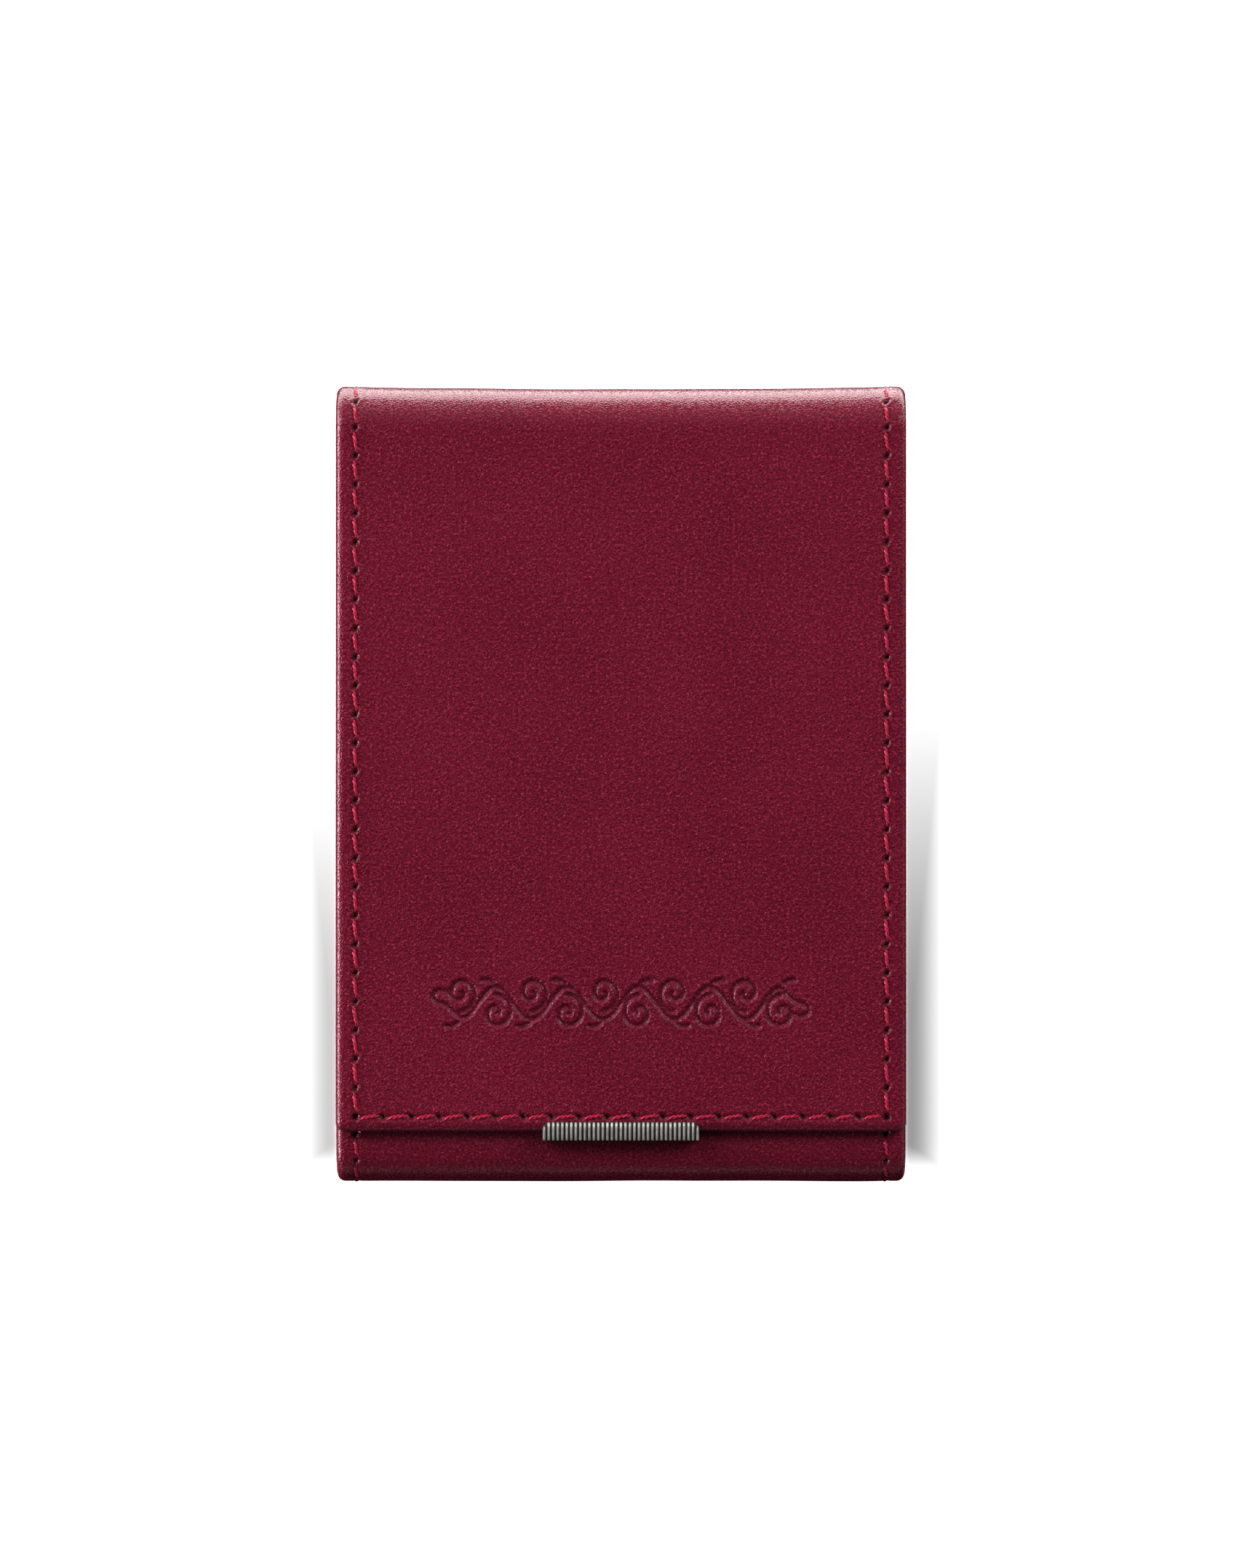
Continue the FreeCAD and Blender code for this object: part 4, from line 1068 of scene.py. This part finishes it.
# Floor, light and camera
studio = {
    "floorColour": "f0f0f0",
    "floorDrop": 0.25 * mm,    # the sewn back stands this far off the floor
    "floorGlow": 1.0,
    "horizon": 0.6,            # brightness of the tent round the horizon, overhead and behind
    "overhead": 0.05,
    "back": 0.4,
    "paintedShadowWidth": 8 * mm,       # width of the painted shadow: the floor doesn't glow this close to the case
    "glowCard": 6.5,           # a lit strip that lies behind the top fold
    "sidePower": 14.0,
    "glintPower": 1.3,
    "lowPower": 6.0,
    "viewHeight": 1.10,
    "viewFrame": 219.7 * mm,   # height of the picture at the flap's face
    "viewShift": 0.92 * mm,
}


def card(name, low, high, height, material):
    mesh = bpy.data.meshes.new(name)
    (a, b), (c, d) = low, high
    mesh.from_pydata([(a, b, height), (c, b, height), (c, d, height), (a, d, height)], [], [(0, 1, 2, 3)])
    mesh.materials.append(material)
    piece = newObject(name, mesh)
    return piece


def makeFloor():  # white card that glows but for a painted shadow beside the case, with a lit strip behind the top fold and black flags close round the case
    white, tree, shader = newMaterial("White card with painted shadow", {
        "Base Color": linearColour(studio["floorColour"]), "Roughness": 0.9, "Emission Color": (1, 1, 1, 1)})
    # the card glows, but for a soft patch beside the lower half of the case, which is a painted shadow; its glow in
    # front of the bottom edge paints over the real shadow there
    split = addNode(tree, "ShaderNodeSeparateXYZ", None, None, {0: objectPlace(tree)})
    side = mathNode(tree, "ABSOLUTE", (split, "X"))
    away = remap(tree, (side, 0), halfWidth + 1 * mm, halfWidth + studio["paintedShadowWidth"], kind="SMOOTHSTEP")
    behind = remap(tree, (split, "Y"), bottomY + 20 * mm, topY - 20 * mm, kind="SMOOTHSTEP")
    before = remap(tree, (split, "Y"), bottomY + 5 * mm, bottomY - 0.5 * mm, kind="SMOOTHSTEP")
    outside = mathNode(tree, "MAXIMUM", (away, 0), (behind, 0))
    either = mathNode(tree, "MAXIMUM", (outside, 0), (before, 0))
    glowWithPaintedShadow = mathNode(tree, "MULTIPLY", (either, 0), studio["floorGlow"])
    addLinks(tree, shader, {"Emission Strength": (glowWithPaintedShadow, 0)})
    card("floor", (-3, -3), (3, 3), -studio["floorDrop"], white)
    lit = newMaterial("Lit strip", {
        "Base Color": (0, 0, 0, 1), "Roughness": 1.0, "Emission Color": (1, 1, 1, 1),
        "Emission Strength": studio["glowCard"]})[0]
    black = newMaterial("Black velvet flag", {
        "Base Color": (0.002, 0.002, 0.002, 1), "Roughness": 1.0, "Specular IOR Level": 0.0})[0]
    near = halfWidth + 1 * mm
    for name, low, high, material in (
        ("litStrip", (-0.12, topY + 10 * mm), (0.12, topY + 260 * mm), lit),
        ("topFlag", (-0.12, topY + 0.3 * mm), (0.12, topY + 10 * mm), black),
        ("frontFlag", (-0.20, -0.5), (0.20, bottomY - 1 * mm), black),
        ("leftFlag", (-0.20, bottomY), (-near, topY + 5 * mm), black),
        ("rightFlag", (near, bottomY), (0.20, topY + 5 * mm), black),
    ):
        strip = card(name, low, high, 0.1 * mm, material)
        strip.visible_camera = False
        strip.visible_shadow = False


def softLight(name, place, size, power):  # it points at the middle of the case's back
    data = bpy.data.lights.new(name, "AREA")
    data.shape, data.size, data.size_y, data.energy = "RECTANGLE", size[0], size[1], power
    light = newObject(name, data)
    light.location = place
    light.rotation_euler = (-Vector(place)).to_track_quat("-Z", "Y").to_euler()
    return light


def makeWorld():  # a tent of white card: open overhead, lit behind the top fold and round the horizon
    world = bpy.data.worlds.new("Studio")
    world.use_nodes = True
    tree = world.node_tree
    tree.nodes.clear()
    way = addNode(tree, "ShaderNodeTexCoord")
    split = addNode(tree, "ShaderNodeSeparateXYZ", None, None, {0: (way, 0)})
    horizon = remap(tree, (split, "Z"), 0.05, 0.28, studio["horizon"], studio["overhead"], "SMOOTHSTEP")
    behind = remap(tree, (split, "Y"), 0.0, 0.7, studio["overhead"], studio["back"], "SMOOTHSTEP")
    level = mathNode(tree, "MAXIMUM", (horizon, 0), (behind, 0))
    sky = addNode(tree, "ShaderNodeBackground", None, {"Color": (1, 1, 1, 1)}, {"Strength": (level, 0)})
    addNode(tree, "ShaderNodeOutputWorld", None, None, {"Surface": (sky, 0)})
    bpy.context.scene.world = world


makeFloor()
makeWorld()
for side, name, share in ((-1, "Left", 1.0), (1, "Right", 0.92)):
    broad = softLight(name, (side * 0.80, 0.55, 0.60), (0.7, 0.9), studio["sidePower"] * share)
    broad.visible_glossy = False  # it leaves no glare on the leather
    softLight(name + "Glint", (side * 0.62, 0.45, 0.78), (0.25, 0.25), studio["glintPower"])
softLight("LeftLow", (-0.60, 0, 0.10), (0.6, 0.16), studio["lowPower"])

cameraData = bpy.data.cameras.new("Camera")
cameraData.sensor_fit = "VERTICAL"
cameraData.sensor_height = cameraData.sensor_width = 36
cameraData.lens = cameraData.sensor_height * studio["viewHeight"] / studio["viewFrame"]
cameraData.clip_start, cameraData.clip_end = 0.01, 20
camera = newObject("Camera", cameraData)
camera.location = (studio["viewShift"], 0, flapZ + studio["viewHeight"])
camera.rotation_euler = (0, 0, 0)
bpy.context.scene.camera = camera
bpy.context.scene.view_settings.view_transform = "Standard"
bpy.context.scene.view_settings.look = "None"
print("floor, lights and camera set")

bpy.context.view_layer.update()
